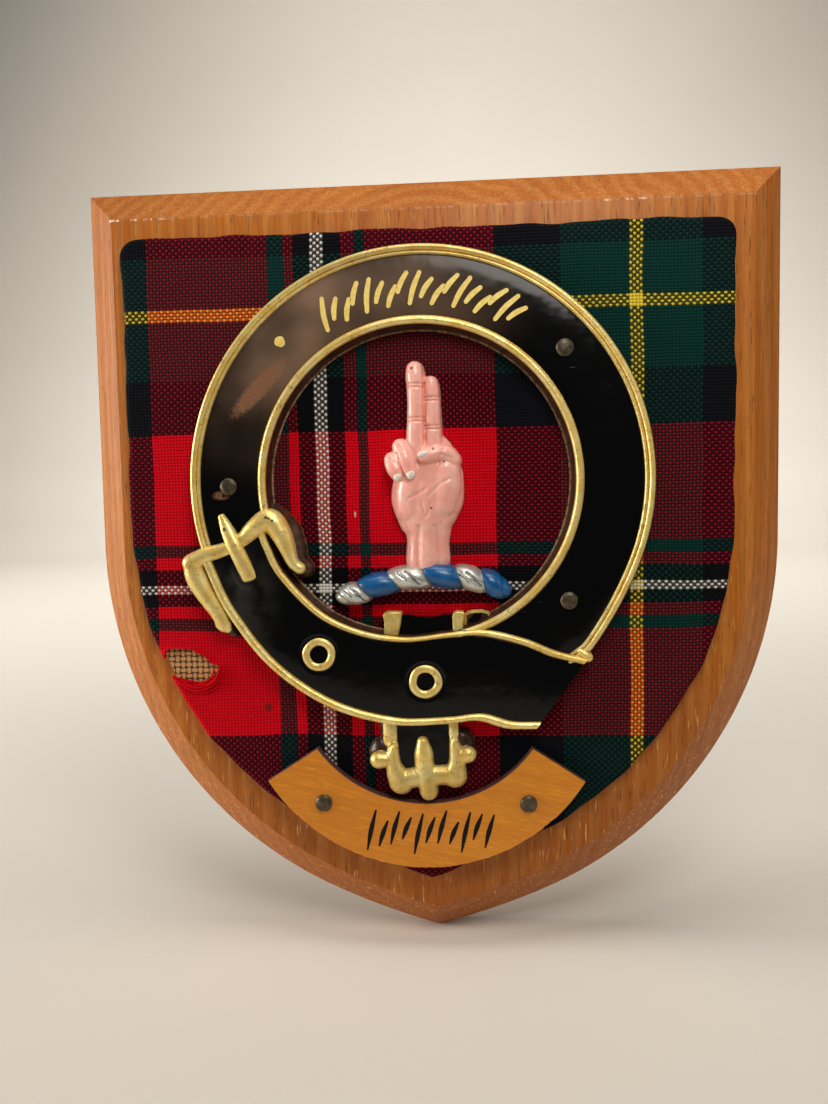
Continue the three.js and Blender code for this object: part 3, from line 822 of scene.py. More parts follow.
def belt_section(border, lift):
    """Corners of the section and the finish of the strip that starts at each corner."""
    edge_level, band_level = 4.6 + lift, 4.9 + lift
    inner, narrow, outer = border
    narrow_bead = [([(1, -outer - narrow, band_level - 0.22)], GOLD),
                   (bead(1, -outer - narrow, narrow, band_level - 0.1, 0.75, 6), GOLD)]
    parts = [
        ([(0, -1.5, 0.0), (0, -1.5, 0.3)], CUT),
        ([(0, -1.0, 0.42)], BROWN),
        ([(0, -0.75, 1.2), (0, -0.35, 3.2), (0, -0.12, edge_level - 0.25)], BROWN),
        (bead(0, 0, inner, edge_level, 1.25, 9), GOLD),
        ([(0, inner + 0.1, band_level - 0.22)], BLACK_BAND),
        ([(0, inner + 0.9, band_level + 0.02)], BLACK_BAND),
        ([(0.3, 0, band_level + 0.3), (0.5, 0, band_level + 0.4), (0.7, 0, band_level + 0.3)], BLACK_BAND),
        ([(1, -outer - narrow - 0.9, band_level + 0.02)], BLACK_BAND),
        *(narrow_bead if narrow else []),
        ([(1, -outer - 0.05, band_level - 0.2)], GOLD),
        (bead(1, -outer, outer, edge_level, 1.3, 11), GOLD),
        ([(1, 0.12, edge_level - 0.3), (1, 0.5, 2.6), (1, 0.9, 0.6)], BROWN),
        ([(1, 1.2, 0.3), (1, 1.2, 0.0)], CUT),
    ]
    corners = [corner for group, _ in parts for corner in group]
    strips = [finish for group, finish in parts for _ in group]
    return corners, strips


def band(inner, outer, border, lift):
    """The belt between two edge lines with the same count of points, with a finish for each face."""
    corners, strips = belt_section(border, lift)
    width = np.linalg.norm(outer - inner, axis=1)
    across = (outer - inner) / width[:, None]
    rings = []
    for start, reach, way in zip(inner, width, across):
        rings.append(np.array([(*(start + way * (share * reach + distance)), METAL + high)
                               for share, distance, high in corners]))
    points, faces = loft(rings)
    numbers = strips * (len(rings) - 1) + [BLACK_BAND, BLACK_BAND]
    return points, faces, numbers


cx, cz = BELT_CENTRE


def on_ring(radius, degrees):
    """A point about the belt's centre."""
    angle = math.radians(degrees)
    return (cx + radius * math.cos(angle), cz + radius * math.sin(angle))


RING_INNER, RING_OUTER = 48.7, 73.0
RING_TURN, RING_STEPS = (196, -77), 220
turns = np.linspace(*RING_TURN, RING_STEPS)
share = np.clip((-22 - turns) / 23.5, 0, 1)
radii = RING_OUTER + 2.6 * share ** 2 - 0.12 * np.maximum(-45.5 - turns, 0)
ring_outer = np.array([on_ring(radius, turn) for radius, turn in zip(radii, turns)])
ring_inner = arc(cx, cz, RING_INNER, *RING_TURN, RING_STEPS)
ring_band = band(ring_inner, ring_outer, (2.5, 1.15, 2.15), 0.0)
belt_ring = new_piece("belt_ring", *ring_band[:2], BELT_FINISHES, ring_band[2], sharp=50)
settle(belt_ring, "enamelled_metal", "belt_badge")

# %% [markdown]
# ## The strap
#
# The strap's end passes through the buckle and lies over the ring, a millimetre higher. Its two edges
# are smooth lines through measured places: a long hollow curve above, a fuller one below.

# %% Strap
UPPER = [(-52.4, 12.6), (-50.8, 8.0), (-46.3, -1), (-34.6, -13.2), (-22, -19.3), (-8, -21.6), (6, -20.2),
         (17, -19.5), (29.4, -22.4), (39, -26.3), (48.8, -28.8)]
LOWER = [(-73.3, 5.6), (-71.6, 0.2), (-65.2, -13.6), (-51.6, -31.2), (-33.4, -43.8), (-13.8, -49.6),
         (3, -49.6), (14, -48.5), (23.4, -51), (32.5, -51.2)]
STRAP_STEPS, STRAP_LIFT = 150, 1.0
strap_band = band(through(UPPER, STRAP_STEPS), through(LOWER, STRAP_STEPS), (2.2, 0, 2.9), STRAP_LIFT)
strap = new_piece("belt_strap", *strap_band[:2], BELT_FINISHES, strap_band[2], sharp=50)
settle(strap, "enamelled_metal", "belt_badge")
corner_line = [(46.4, -26.5, 0.9, 6.2), (48.0, -27.6, 1.3, 6.7), (49.0, -28.5, 1.5, 6.9)]
border_corner = new_piece("border_corner", *bar(corner_line, 16), [gold], sharp=60)
settle(border_corner, "enamelled_metal", "belt_badge")

# %% [markdown]
# ## Buckle and prong
#
# The buckle is an open frame of rounded bars that swell at their corners. Bars that overlap are fused
# by a voxel remesh and softened, which gives the full, slightly slumped look of pressed metal. A wide
# low bar along the right side makes the brown wall there. Height decides the finish of each face.

# %% Buckle
def by_height(points, faces, gold_above, brown_above):
    """A finish for each face of a cast or pressed skin: gold on top, brown walls, a bright cut foot."""
    high = middles(points, faces)[:, 2] - METAL
    return np.where(high > gold_above, GOLD, np.where(high > brown_above, BROWN, CUT))


leg_line = [(-66.7, -17.4, 2.7, 5.8), (-68.4, -13.6, 2.8, 6.4), (-70.7, -9.8, 3.15, 6.8),
            (-73.2, -5.8, 3.5, 7.2), (-75.3, -1.6, 3.7, 7.4), (-76.3, 2.4, 3.0, 7.6)]
frame_line = [(-76.6, 2.8, 2.9, 7.7), (-71.3, 5.3, 2.6, 7.6), (-65.3, 6.9, 2.5, 7.1), (-59.8, 9.6, 2.6, 7.2),
              (-55.7, 13.4, 3.15, 7.9), (-50.9, 16.1, 3.8, 8.2), (-47.6, 12.4, 3.5, 8.1),
              (-45.7, 8.2, 2.8, 7.8), (-44.3, 4.0, 2.0, 7.2), (-43.3, 2.0, 1.8, 6.9)]
leg_foot = [(-67.6, -17.0, 2.6, 5.4), (-65.7, -18.7, 2.1, 4.7), (-64.0, -20.2, 1.4, 4.0)]
ball = [(-42.7, 1.5, 1.8, 6.7), (-41.5, 0.6, 1.9, 6.6)]
wall = [(-51.0, 17.2, 4.6, 4.0), (-46.2, 13.0, 4.4, 4.0), (-43.8, 8.0, 3.6, 4.0), (-42.6, 3.0, 3.0, 4.0),
        (-40.8, 0.4, 3.0, 4.0)]
buckle_parts = [bar(leg_line, 50, flare=0.9), bar(leg_foot, 16, flare=0.9), bar(frame_line, 80, flare=0.9),
                bar(ball, 8, flare=0.6), bar(wall, 30, flare=0.5)]
points, faces = fuse(buckle_parts, 0.34, 3)
numbers = by_height(points, faces, 4.3, 0.35)
buckle = new_piece("buckle_frame", points, faces, BELT_FINISHES, numbers, sharp=60)
settle(buckle, "enamelled_metal", "belt_badge")

prong_line = [(-66.2, 17.8, 1.1, 6.4), (-65.3, 15.6, 1.7, 7.0), (-63.8, 12.2, 2.2, 8.2),
              (-61.8, 7.8, 2.45, 9.0), (-59.9, 3.6, 2.55, 8.8), (-58.2, -0.4, 2.6, 8.1),
              (-57.5, -2.2, 2.55, 7.7)]
FLATTEN_ABOVE, FLATTEN_TO = METAL + 6.5, 0.72
points, faces = fuse([bar(prong_line, 44, flare=0.2, foot=4.0, cap=0.45)], 0.3, 2)
points[:, 2] -= np.maximum(points[:, 2] - FLATTEN_ABOVE, 0) * (1 - FLATTEN_TO)
prong = new_piece("buckle_prong", points, faces, [gold], sharp=60)
settle(prong, "enamelled_metal", "belt_badge")

# %% [markdown]
# ## Eyelets
#
# Each eyelet is a rolled ring with a dark bore. A ring turned round its axis, a little wavy, reads as
# hand-painted metal; the bore is a small dished disc just inside.

# %% Eyelets
def turned(centre, profile, sides=48, wobble=0.0, seed=0):
    """A body turned about an axis through the front at centre: a profile of radius and height."""
    sway = 1 + wobble * waves(sides, (2, 3, 5), seed)
    angles = np.linspace(0, 2 * np.pi, sides, endpoint=False)
    unit_x, unit_z = sway * np.cos(angles), sway * np.sin(angles)
    return loft([np.column_stack([centre[0] + r * unit_x, centre[1] + r * unit_z, np.full(sides, METAL + h)])
                 for r, h in profile])


level = 5.9
rolled = [(4.1 - 1.3 * math.cos(a), level + 1.05 * math.sin(a)) for a in np.linspace(0, math.pi, 13)]
roll = [(2.65, level - 0.6), *rolled, (5.45, level - 0.6)]
bore_profile = [(0.25, level - 0.95), (1.7, level - 0.9), (2.5, level - 0.5), (2.8, level + 0.1)]
bodies = [turned(e, roll, wobble=0.03, seed=i) for i, e in enumerate(EYELETS)]
eyelet_rings = new_piece("eyelet_rings", *gather(bodies), [gold], sharp=60)
settle(eyelet_rings, "enamelled_metal", "belt_badge")
bodies = [turned(e, bore_profile) for e in EYELETS]
eyelet_bores = new_piece("eyelet_bores", *gather(bodies), [enamel], sharp=60)
settle(eyelet_bores, "enamelled_metal", "belt_badge")

# %% [markdown]
# ## Keeper and tail
#
# Inside the ring, above the strap, the belt's end shows as a grey strap between two gilt clips. Below
# the ring it hangs out again, in a cast chape with an upright leaf, two lobes, two balls and a drop.
# The flat parts are plates with an eased edge, drawn from their outlines; the chape is fused bars.

# %% Keeper
def plate(outline, height, ease=0.25, foot=0.0):
    """A flat plate with an eased upper edge, from its outline."""
    outline = evenly(np.array(outline, float), 0.4)
    middle = outline.mean(0)
    away = outline - middle
    inner = middle + away * (1 - ease / np.linalg.norm(away, axis=1))[:, None]
    levels = [(outline, foot), (outline, height - ease), (inner, height)]
    return loft([np.column_stack([o, np.full(len(o), METAL + h)]) for o, h in levels])


leather = plate([(-10.9, -24), (-9.9, -15.1), (-7.6, -15.0), (-5.3, -15.3), (-2.0, -16.0), (1.2, -15.6),
                 (4.4, -15.0), (7.2, -15.1), (8.4, -24)], 2.6)
keeper_strap = new_piece("keeper_strap", *leather, [enamel], sharp=30)
settle(keeper_strap, "enamelled_metal", "belt_badge")
clips = [plate([(-15.3, -22), (-15.0, -17.2), (-15.4, -15.4), (-15.1, -14.3), (-14.0, -13.7), (-9.5, -13.9),
                (-9.3, -14.6), (-9.7, -17.6), (-10.7, -22)], 4.0, 0.5),
         plate([(7.0, -22), (6.7, -15.6), (7.1, -14.4), (8.2, -13.8), (10.4, -14.0), (10.6, -15.2),
                (10.1, -18.4), (10.2, -22)], 4.0, 0.5)]
keeper_clips = new_piece("keeper_clips", *gather(clips), [gold], sharp=30)
settle(keeper_clips, "enamelled_metal", "belt_badge")
flap = plate([(10.2, -21), (10.4, -15.0), (11.6, -14.2), (13.2, -13.8), (16.2, -13.6), (18.6, -14.4),
              (19.6, -16.4), (18.4, -20)], 1.6, 1.0)
recess = plate([(14.0, -14.6), (11.6, -17.2), (12.6, -17.9), (14.8, -17.4), (16.2, -15.9), (15.6, -14.7)],
               1.68, 0.05, 1.4)
points, faces = gather([flap, recess])
side_faces = (len(flap[1]) - 2) // 2
numbers = [BROWN] * side_faces + [GOLD] * side_faces + [BROWN] * 2 + [BLACK_BAND] * len(recess[1])
keeper_flap = new_piece("keeper_flap", points, faces, BELT_FINISHES, numbers, sharp=30)
settle(keeper_flap, "enamelled_metal", "belt_badge")

# %% Tail and chape
chape_parts = [
    bar([(-14.0, -48, 3.1, 4.0), (-13.9, -55.6, 3.0, 4.1)], 14),
    bar([(6.5, -48, 1.8, 4.0), (6.6, -53.6, 1.8, 4.1)], 12),
    bar([(-13.0, -57.0, 1.7, 4.9), (-13.1, -60.4, 2.1, 5.3), (-12.9, -63.2, 2.5, 5.6),
         (-12.1, -66, 3.4, 5.9), (-10.6, -69.1, 4.35, 6.2)], 26),
    bar([(-14.2, -61.9, 2.3, 5.2), (-17.7, -61.9, 3.0, 5.8)], 12),
    bar([(-10.6, -68.6, 3.7, 5.9), (-5.8, -67.6, 3.5, 5.6), (2.2, -66.9, 3.5, 5.6),
         (6.7, -66.9, 3.7, 5.9)], 24),
    bar([(-3.4, -56.0, 1.9, 5.2), (-3.2, -59.4, 3.0, 6.0), (-3.1, -62.6, 3.2, 5.9),
         (-2.6, -66.6, 3.3, 6.1)], 26),
    bar([(-2.2, -68.4, 3.2, 6.3), (-1.7, -71.9, 3.1, 6.4)], 12),
    bar([(6.5, -55.2, 1.4, 4.9), (7.0, -58.6, 2.0, 5.3), (7.3, -61.8, 2.5, 5.6), (7.2, -64.4, 3.3, 5.9),
         (6.7, -67.0, 4.25, 6.2)], 26),
    bar([(7.6, -61.0, 2.5, 5.2), (11.0, -60.1, 2.8, 5.7)], 12),
    bar([(-17.4, -60.2, 3.9, 2.9), (-16.8, -59.0, 3.9, 2.9)], 6),
    bar([(9.6, -57.0, 3.9, 2.9), (9.0, -56.0, 3.9, 2.9)], 6),
]
points, faces = fuse(chape_parts, 0.32, 2)
press(points, [(-14.6, -58.4), (-12.9, -56.2), (-11.2, -58.2)], 0.45, 0.7)
press(points, [(4.6, -56.6), (6.4, -54.4), (8.4, -56.2)], 0.45, 0.7)
numbers = by_height(points, faces, 3.05, 0.4)
chape = new_piece("tail_chape", points, faces, BELT_FINISHES, numbers, sharp=60)
settle(chape, "enamelled_metal", "belt_badge")
hanging = plate([(-11.6, -48), (5.2, -48), (5.2, -66), (-11.2, -66)], 2.8)
tail_strap = new_piece("tail_strap", *hanging, [enamel], sharp=30)
settle(tail_strap, "enamelled_metal", "belt_badge")

# %% [markdown]
# ## Painted strokes
#
# The belt's upper band carries a row of plain slanting brush strokes. Each stroke is a thin shape of
# paint along a short line, thick in the middle and round at its ends. A painted dot lies to their left.

# %% Brush strokes
def brush(line, widths, level, thickness=0.06):
    """A flat stroke of paint along a short line, as a thin closed body."""
    path = through([(x0, z0, w) for (x0, z0), w in zip(line, widths)], 14)
    along, across = sideways(path)
    left = path[:, :2] + across * path[:, 2:3] / 2
    right = path[:, :2] - across * path[:, 2:3] / 2
    cap_a = path[0, :2] - along[0] * path[0, 2] * 0.35
    cap_b = path[-1, :2] + along[-1] * path[-1, 2] * 0.35
    outline = np.vstack([cap_a, left, cap_b, right[::-1]])
    return loft([np.column_stack([outline, np.full(len(outline), level + h)]) for h in (-0.3, thickness)])


cream = new_finish("cream_paint")
here = place_of(cream)[0]
brushed = noise(here, 1.2, 3)
tint = mix(soft_step(brushed, 0.3, 0.7), colour(252, 226, 128), colour(238, 206, 104))
close_finish(cream, tint, 0.4, brushed * 0.1)
strokes = []
motto_level = METAL + 5.24
STROKE_REACHES = ((54.6, 64.4), (56.6, 62.4), (54.6, 60.6), (58.4, 64.4))
STROKE_LEAN = 1.6
for i, degrees in enumerate(np.linspace(118.5, 58.5, 18)):
    low_end, high_end = STROKE_REACHES[i % 4]
    line = [on_ring(low_end, degrees + STROKE_LEAN), on_ring((low_end + high_end) / 2, degrees + 0.3),
            on_ring(high_end, degrees - STROKE_LEAN)]
    strokes.append(brush(line, (1.3, 1.7, 1.3), motto_level))
dot_profile = [(1.95, -0.2), (1.9, 0.05), (1.3, 0.12), (0.2, 0.14)]
strokes.append(turned((-45.6, 71.7), [(r, 5.2 + h) for r, h in dot_profile], 32, 0.05, 4))
motto = new_piece("motto_strokes", *gather(strokes), [cream], sharp=30)
settle(motto, "enamelled_metal", "belt_badge")

# %% [markdown]
# ## Finishes of the casting
#
# The casting is painted thickly: glossy pink on the hand with pits where the paint is chipped, white
# on the finger nails, silver and blue in turn on the folds of the wreath.

# %% Pink, white, silver and blue
pink = new_finish("pink_paint")
here, x, y, z = place_of(pink)
flow = noise(here, 4, 2)
tint = mix(soft_step(flow, 0.3, 0.7), colour(255, 176, 160), colour(255, 192, 176))
pits = soft_step(noise(here, 0.8, 2), 0.735, 0.77)
for spot, size in (((-4.6, 62.4), 0.55), ((1.75, 37.4), 0.5), ((0.8, 19.0), 0.45), ((5.0, 33.4), 0.4)):
    pits = pits.math("MAXIMUM", pits, 1 - soft_step(from_point(x, z, spot), size * 0.6, size))
tint = mix(pits * 0.85, tint, colour(96, 42, 34))
close_finish(pink, tint, 0.22 + flow * 0.1, flow * 0.25 + pits * -0.15, Coat_Weight=0.3, Coat_Roughness=0.12)

white = new_finish("white_nail_paint")
here = place_of(white)[0]
flow = noise(here, 1.5, 2)
close_finish(white, mix(flow, colour(226, 214, 198), colour(244, 236, 224)), 0.25, flow * 0.1)

silver = new_finish("silver_paint")
here = place_of(silver)[0]
flow, grime_and_shade = noise(here, 2.5, 3), noise(stretch(here, 1, 1, 1.6), 0.9, 3)
tint = mix(soft_step(flow, 0.3, 0.7), colour(184, 188, 182), colour(218, 219, 212))
tint = mix(soft_step(grime_and_shade, 0.6, 0.75) * 0.6, tint, colour(84, 84, 88))
close_finish(silver, tint, 0.32, flow * 0.2 + grime_and_shade * 0.1, Metallic=0.55)

blue = new_finish("blue_paint")
here = place_of(blue)[0]
flow, grime_and_shade = noise(here, 2.5, 3), noise(here, 0.8, 3)
tint = mix(soft_step(flow, 0.3, 0.7), colour(6, 76, 132), colour(14, 96, 154))
tint = mix(soft_step(grime_and_shade, 0.66, 0.78) * 0.7, tint, colour(14, 30, 60))
close_finish(blue, tint, 0.26 + grime_and_shade * 0.1, flow * 0.2 + grime_and_shade * 0.08, Coat_Weight=0.2, Coat_Roughness=0.15)

# %% [markdown]
# ## The hand
#
# The hand is built as a sculptor would block it in: a palm that swells above the wrist, two straight
# fingers, two folded ones and the thumb across them. All are bars, fused and softened into one skin.
# Creases are then pressed into that skin by lowering the points near a short line.

# %% Hand
palm = bar([(-0.75, 2.4, 7.2, 4.9), (-0.7, 5.4, 7.0, 5.0), (-0.65, 8, 6.85, 5.1), (-0.6, 11.2, 7.4, 5.3),
            (-0.8, 13.6, 8.7, 5.7), (-0.85, 16.6, 10.1, 6.1), (-0.75, 20.3, 11.4, 6.5),
            (-0.45, 24, 11.6, 6.8), (-0.05, 28, 11.2, 6.7), (0.1, 31, 10.6, 6.5),
            (0.1, 34.5, 8.6, 6.1)], 60, 22)
hand_parts = [
    palm,
    bar([(-3.8, 35, 2.95, 6.1), (-3.8, 41.5, 2.9, 6.2), (-3.7, 46.6, 2.7, 6.0), (-3.6, 51.9, 2.6, 6.1),
         (-3.6, 57.2, 2.75, 5.9), (-3.7, 60.4, 2.95, 5.8), (-3.8, 62.3, 2.7, 5.4)], 60),
    bar([(2.4, 34, 3.0, 5.8), (1.7, 40, 2.75, 5.6), (1.6, 44.1, 2.6, 5.4), (1.5, 48.5, 2.6, 5.5),
         (1.45, 53.0, 2.45, 5.3), (1.3, 56, 2.45, 5.2), (1.15, 58.1, 2.2, 4.9)], 60),
    bar([(-8.7, 38.3, 2.6, 6.6), (-7.9, 36.4, 2.85, 7.6), (-6.7, 33.2, 2.75, 8.2),
         (-5.5, 30.5, 2.3, 8.0)], 30),
    bar([(-11.5, 34.4, 2.4, 6.2), (-11.1, 32.9, 2.6, 7.0), (-10.3, 31.0, 2.5, 7.4),
         (-9.6, 29.8, 2.2, 7.2)], 24),
    bar([(7.0, 33.6, 3.3, 6.1), (5.7, 35.7, 2.9, 6.9), (3.2, 35.9, 2.5, 7.9), (0.4, 35.3, 2.05, 8.3),
         (-1.5, 34.9, 1.6, 8.2)], 36),
    bar([(3.8, 20, 5.2, 6.5), (4.8, 25.0, 5.6, 7.1), (5.2, 30.5, 5.0, 7.0)], 24, 16),
    bar([(-5.6, 19, 5.6, 6.2), (-5.4, 24, 5.8, 6.7), (-4.4, 28, 5.4, 6.8)], 24, 16),
]
points, faces = fuse(hand_parts, 0.3, 4)
for z0, left, right in ((57.15, -6.9, -0.9), (46.65, -6.9, -0.9), (52.95, -0.7, 4.4), (44.15, -0.7, 4.6)):
    for shift in (-0.5, 0.5):
        press(points, [(left, z0 + shift), (right, z0 + shift)], 0.3, 0.6)
press(points, [(-1.0, 64), (-0.95, 54), (-0.95, 46), (-0.9, 38.5)], 0.4, 1.0)
press(points, [(-9.6, 36.2), (-8.6, 33.2), (-7.5, 29.4)], 0.35, 0.8)
for line in ([(-3.6, -2), (-3.6, 6), (-3.2, 13)], [(1.9, -2), (1.8, 6), (1.6, 13)]):
    press(points, line, 0.9, 0.8)
palm_lines = [[(-6.4, 22.0), (-3.2, 23.7), (-0.9, 25.0)], [(0.0, 22.8), (3.2, 26.3), (6.6, 28.0)],
              [(-2.3, 20.8), (-1.2, 16.3)], [(0.5, 20.6), (-0.6, 16.6)],
              [(5.4, 38.0), (4.3, 35.4), (3.4, 33.0)], [(4.3, 35.4), (7.2, 34.6)],
              [(-9.1, 17.1), (-7.4, 12.6)]]
for line in palm_lines:
    press(points, line, 0.42, 0.34)
hand = new_piece("crest_hand_skin", points, faces, [pink], sharp=80)
settle(hand, "painted_casting", "crest_hand")

# %% Finger nails
def pebble(x0, z0, level, length, width, rise, turn):
    """A small domed oval that lies on the front."""
    angles = np.linspace(0, 2 * np.pi, 20, endpoint=False)
    lean = math.radians(turn)
    rings = []
    for share, high in ((1.0, -1.0), (1.0, 0.0), (0.88, 0.5), (0.62, 0.82), (0.3, 0.97), (0.05, 1.0)):
        a, b = length / 2 * share * np.cos(angles), width / 2 * share * np.sin(angles)
        rings.append(np.column_stack([x0 + a * math.cos(lean) - b * math.sin(lean),
                                      z0 + a * math.sin(lean) + b * math.cos(lean),
                                      np.full(len(angles), METAL + level + rise * high)]))
    return loft(rings)


nail_bodies = [pebble(-9.5, 28.9, 6.5, 2.9, 2.6, 0.9, 70), pebble(-5.3, 29.5, 7.3, 3.1, 2.7, 0.9, 70),
               pebble(-1.3, 35.7, 7.8, 3.9, 1.9, 0.75, 18)]
finger_nails = new_piece("finger_nails", *gather(nail_bodies), [white], sharp=60)
settle(finger_nails, "painted_casting", "crest_hand")

# %% [markdown]
# ## The wreath
#
# The wreath is a twisted roll of two cloths along a low arch. A bar whose sections lean along the line
# gives the twist: the waists between the folds then slant by themselves. Every face knows from its ring
# which fold it belongs to, and so whether it is silver or blue. Short creases are pressed in last. The
# waists between the folds and the creases take a dark grey finish: partly grime, partly painted shade.

# %% Wreath
BOUNDS = np.array([-27.2, -21.3, -11.8, -1.5, 9.0, 16.7, 22.9])
# The dark grey finish of the waists and creases: partly grime, partly painted shade.
grime_and_shade = new_finish("dark_crease")
here = place_of(grime_and_shade)[0]
close_finish(grime_and_shade, mix(noise(here, 0.6, 2), colour(74, 74, 78), colour(128, 126, 122)), 0.5)


def arch(x0):
    """The height on the front of the wreath's middle line."""
    return -2.6 - 0.0085 * (x0 - 1.2) ** 2


stations = []
for x0 in np.linspace(BOUNDS[0], BOUNDS[-1], 120):
    fold = min(int(np.searchsorted(BOUNDS, x0, side="right")) - 1, len(BOUNDS) - 2)
    share = (x0 - BOUNDS[fold]) / (BOUNDS[fold + 1] - BOUNDS[fold])
    bulge = max(math.sin(math.pi * share), 0) ** 0.45
    stations.append((x0, arch(x0), 2.75 + 1.1 * bulge, 4.7 + 1.8 * bulge))
RINGS, SIDES = 190, 34
points, faces = bar(stations, RINGS, SIDES, slant=0.5)
rows = np.minimum(np.arange(len(faces)) // (SIDES + 3), RINGS + 2 * len(CAP_LEANS) - 2)
along_x = np.interp(rows - len(CAP_LEANS), np.arange(RINGS), through(stations, RINGS)[:, 0])
fold_of = np.clip(np.searchsorted(BOUNDS, along_x, side="right") - 1, 0, len(BOUNDS) - 2)
numbers = fold_of % 2
# Painted shade, partly grime: faces at the waists between the folds take the dark grey finish.
numbers[np.abs(along_x[:, None] - BOUNDS[1:-1]).min(1) < 0.14] = 2
CREASE_LEAN = math.radians(-38)
creases = []
for fold in (0, 2, 4):
    middle = (BOUNDS[fold] + BOUNDS[fold + 1]) / 2
    for shift, rise, reach in ((-2.2, 0.5, 3.6), (0.3, 1.0, 4.4), (1.9, -0.9, 3.4)):
        spot = np.array([middle + shift, arch(middle) + rise])
        way = np.array([math.cos(CREASE_LEAN), math.sin(CREASE_LEAN)]) * reach / 2
        creases.append([spot - way, spot + way * 0.4 + (0, 0.2), spot + way])
for line in creases:
    press(points, line, 0.4, 0.55)
centres = middles(points, faces)
# Painted shade, partly grime: faces along the creases take the dark grey finish.
for line in creases:
    numbers = np.where((distance_to(centres, line) < 0.2) & (centres[:, 2] > METAL + 2), 2, numbers)
wreath = new_piece("wreath_folds", points, faces, [silver, blue, grime_and_shade], numbers, sharp=80)
settle(wreath, "painted_casting", "crest_hand")

# %% [markdown]
# ## The name scroll
#
# The scroll is a sawn piece of thin board under orange varnish, with its grain running slightly
# downhill and dark saw cuts round its edge. It carries a row of plain pen strokes.

# %% Scroll finishes
varnish = new_finish("orange_varnish")
here, x, y, z = place_of(varnish)
along_grain, up_grain = x * 0.974 - z * 0.225, z * 0.974 + x * 0.225
grain_place = x.node("ShaderNodeCombineXYZ", inputs={0: along_grain * 0.07, 1: 0.0, 2: up_grain})
streaks, broad = noise(grain_place, 0.5, 3), noise(grain_place, 4, 2)
tint = mix(soft_step(broad, 0.3, 0.7), colour(224, 137, 24), colour(235, 151, 36))
tint = mix(soft_step(streaks, 0.35, 0.5) * 0.35, tint, colour(172, 98, 32))
tint = mix(soft_step(streaks, 0.62, 0.72) * 0.7, tint, colour(242, 182, 84))
close_finish(varnish, tint, 0.34, streaks * 0.06, Coat_Weight=0.12, Coat_Roughness=0.2,
             Specular_IOR_Level=0.3)

sawn = new_finish("sawn_edge")
here = place_of(sawn)[0]
rough_cut = noise(stretch(here, 1, 0.3, 1), 0.7, 3)
close_finish(sawn, mix(rough_cut, colour(46, 26, 26), colour(120, 74, 62)), 0.7, rough_cut * 0.3)

ink = new_finish("black_ink")
here = place_of(ink)[0]
flow = noise(here, 1.0, 2)
close_finish(ink, mix(flow, colour(6, 5, 5), colour(18, 12, 10)), 0.45, flow * 0.05, Specular_IOR_Level=0.2)

# %% Scroll
SCROLL_TOP = METAL + 3.0
OUTER_CENTRE, OUTER_RADIUS = np.array([-3, -37.6]), 60.3
inner = arc(-3, -33.7, 42.5, -90 - 54.6, -90 + 54.6, 90)
outer = arc(*OUTER_CENTRE, OUTER_RADIUS, -90 + 58.4, -90 - 58.4, 120)
ragged = np.random.default_rng(7).uniform(0, 0.28, len(outer)) * (np.abs(np.arange(len(outer)) - 60) < 45)
outer += (OUTER_CENTRE - outer) / OUTER_RADIUS * ragged[:, None]
outline = np.vstack([inner, outer])
centre_line = np.array([-3, -35.0])
toward = np.vstack([(inner - centre_line) / np.linalg.norm(inner - centre_line, axis=1)[:, None],
                    -(outer - centre_line) / np.linalg.norm(outer - centre_line, axis=1)[:, None]])
scroll_rings = [np.column_stack([outline + toward * inset, np.full(len(outline), high)])
                for inset, high in ((0, METAL), (0, SCROLL_TOP - 0.3), (0.25, SCROLL_TOP))]
points, faces = loft(scroll_rings)
count = len(outline)
numbers = [1] * count + [1] * count + [1, 0]
scroll = new_piece("scroll_board", points, faces, [varnish, sawn], numbers, sharp=25)
settle(scroll, "varnished_wood", "name_scroll")
pen = []
for i, x0 in enumerate(np.linspace(-20.6, 17.6, 11)):
    z0 = -85.2 - 1.2 * math.sin(i * 1.9)
    reach = (6.6, 4.2, 5.4, 3.6)[i % 4]
    line = [(x0 - 1.5, z0 - reach), (x0 - 0.2, z0), (x0 + 1.5, z0 + reach)]
    pen.append(brush(line, (0.5, 1.55, 0.6), SCROLL_TOP, 0.05))
name_strokes = new_piece("name_strokes", *gather(pen), [ink], sharp=30)
settle(name_strokes, "varnished_wood", "name_scroll")

# %% [markdown]
# ## Nails
#
# Dome-headed nails hold the badge and the scroll. A head is a turned dome with a few flats, as if it
# had been hammered.

# %% Nails
bronze = new_finish("dark_bronze")
here = place_of(bronze)[0]
hammered, dirt = noise(here, 1.6, 2), noise(here, 0.5, 3)
tint = mix(soft_step(hammered, 0.35, 0.7), colour(66, 56, 42), colour(98, 85, 64))
tint = mix(soft_step(dirt, 0.6, 0.75) * 0.5, tint, colour(30, 24, 20))
close_finish(bronze, tint, 0.42, hammered * 0.15 + dirt * 0.02, Metallic=0.45)
dome = [(2.74, 0.0), (2.74, 0.3), (2.6, 0.55), (2.2, 0.85), (1.6, 1.08), (0.9, 1.18), (0.15, 1.2)]
BELT_NAIL_LEVEL, SCROLL_NAIL_LEVEL = 5.6, 3.3
nails = [(p, BELT_NAIL_LEVEL, f"belt_nail_{i + 1}") for i, p in enumerate(BELT_NAILS)]
nails += [(p, SCROLL_NAIL_LEVEL, f"scroll_nail_{i + 1}") for i, p in enumerate(SCROLL_NAILS)]
for spot, base, node in nails:
    head = turned(spot, [(r, base + h) for r, h in dome], 32, 0.02, 9)
    settle(new_piece(node.replace("nail", "nail_head"), *head, [bronze], sharp=50), "nail_bronze", node)

# %% [markdown]
# ## Stage, camera and light
#
# The plaque stands on its tip on a pale floor, with a pale backdrop far behind. The camera was fitted
# to the plaque's outline: close in front and a little above the middle. A small lamp high in front gives
# the fall of light from top to bottom, and a window far to the left grazes the face, so the top and
# left bevels are the lightest.

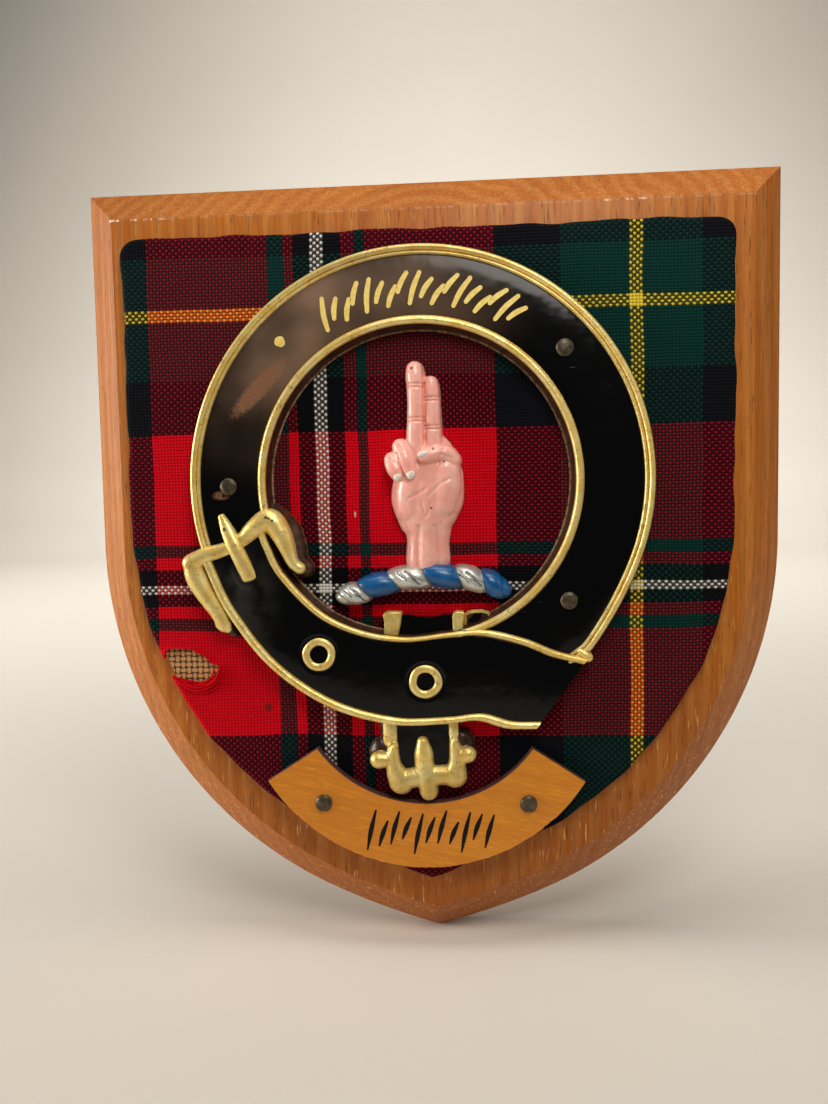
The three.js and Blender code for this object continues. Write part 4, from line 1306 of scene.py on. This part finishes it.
# %% Floor and backdrop
plaster = new_finish("pale_floor")
here, x, y, z = place_of(plaster)
# Painted shade: the backdrop darkens towards its top.
tint = mix(soft_step(z, 0, 1500), colour(228, 222, 212), colour(188, 182, 172))
close_finish(plaster, mix(noise(here, 300, 2) * 0.1, tint, colour(240, 232, 220)), 0.8)
floor_level = -126.9
sweep = [(-330, 0), (1900, 0), (2200, 90), (2400, 300), (2480, 700), (2500, 3500)]
points = np.array([(side, floor_level + up, -deep - BOARD) for deep, up in sweep for side in (-4000, 4000)])
faces = [(2 * i, 2 * i + 1, 2 * i + 3, 2 * i + 2) for i in range(len(sweep) - 1)]
floor = new_piece("floor", points, faces, [plaster], sharp=80)

# %% Camera
PHOTO_HEIGHT, FOCAL_PIXELS = 1104, 829
lens = bpy.data.cameras.new("camera")
lens.sensor_width = 36
lens.lens = 36 * FOCAL_PIXELS / PHOTO_HEIGHT
lens.clip_start = 0.01
camera = bpy.data.objects.new("camera", lens)
bpy.context.scene.collection.objects.link(camera)
right, up, ahead = (0.9976, 0.0659, -0.0196), (0.0154, 0.0637, 0.9978), (-0.0670, 0.9958, -0.0626)
stand = (0.01255, -0.2875, 0.0216)
camera.matrix_world = Matrix([(right[i], up[i], -ahead[i], stand[i]) for i in range(3)] + [(0, 0, 0, 1)])
bpy.context.scene.camera = camera
print("lens of", round(lens.lens, 2), "mm")

# %% Light
def soft_light(name, place, target, size, power, tint, spread=180):
    """A round lamp that looks at a target; spread in degrees."""
    lamp = bpy.data.lights.new(name, "AREA")
    lamp.shape = "DISK"
    lamp.size = size
    lamp.energy = power
    lamp.color = tint
    lamp.spread = math.radians(spread)
    lamp_object = bpy.data.objects.new(name, lamp)
    lamp_object.location = place
    lamp_object.rotation_euler = (Vector(target) - Vector(place)).to_track_quat("-Z", "Y").to_euler()
    bpy.context.scene.collection.objects.link(lamp_object)


soft_light("ceiling", (0.08, -0.31, 0.30), (0, 0, 0.04), 0.2, 0.92, (1.0, 0.95, 0.87))
soft_light("window", (-1.5, -0.16, 0.22), (0, 0, 0), 0.8, 22, (1.0, 0.96, 0.9))
soft_light("right_fill", (1.3, -0.4, 0.5), (0, 0, 0), 0.9, 1.6, (1.0, 0.94, 0.86))
soft_light("backdrop_wash", (0, 0.3, 2.2), (0, 2.4, 0.1), 2.2, 40, (1.0, 0.97, 0.93), 105)
world = bpy.data.worlds.new("room_air")
world.use_nodes = True
air = world.node_tree.nodes["Background"]
air.inputs["Color"].default_value = (0.9, 0.87, 0.82, 1)
air.inputs["Strength"].default_value = 0.09
bpy.context.scene.world = world
bpy.context.scene.view_settings.view_transform = "Standard"
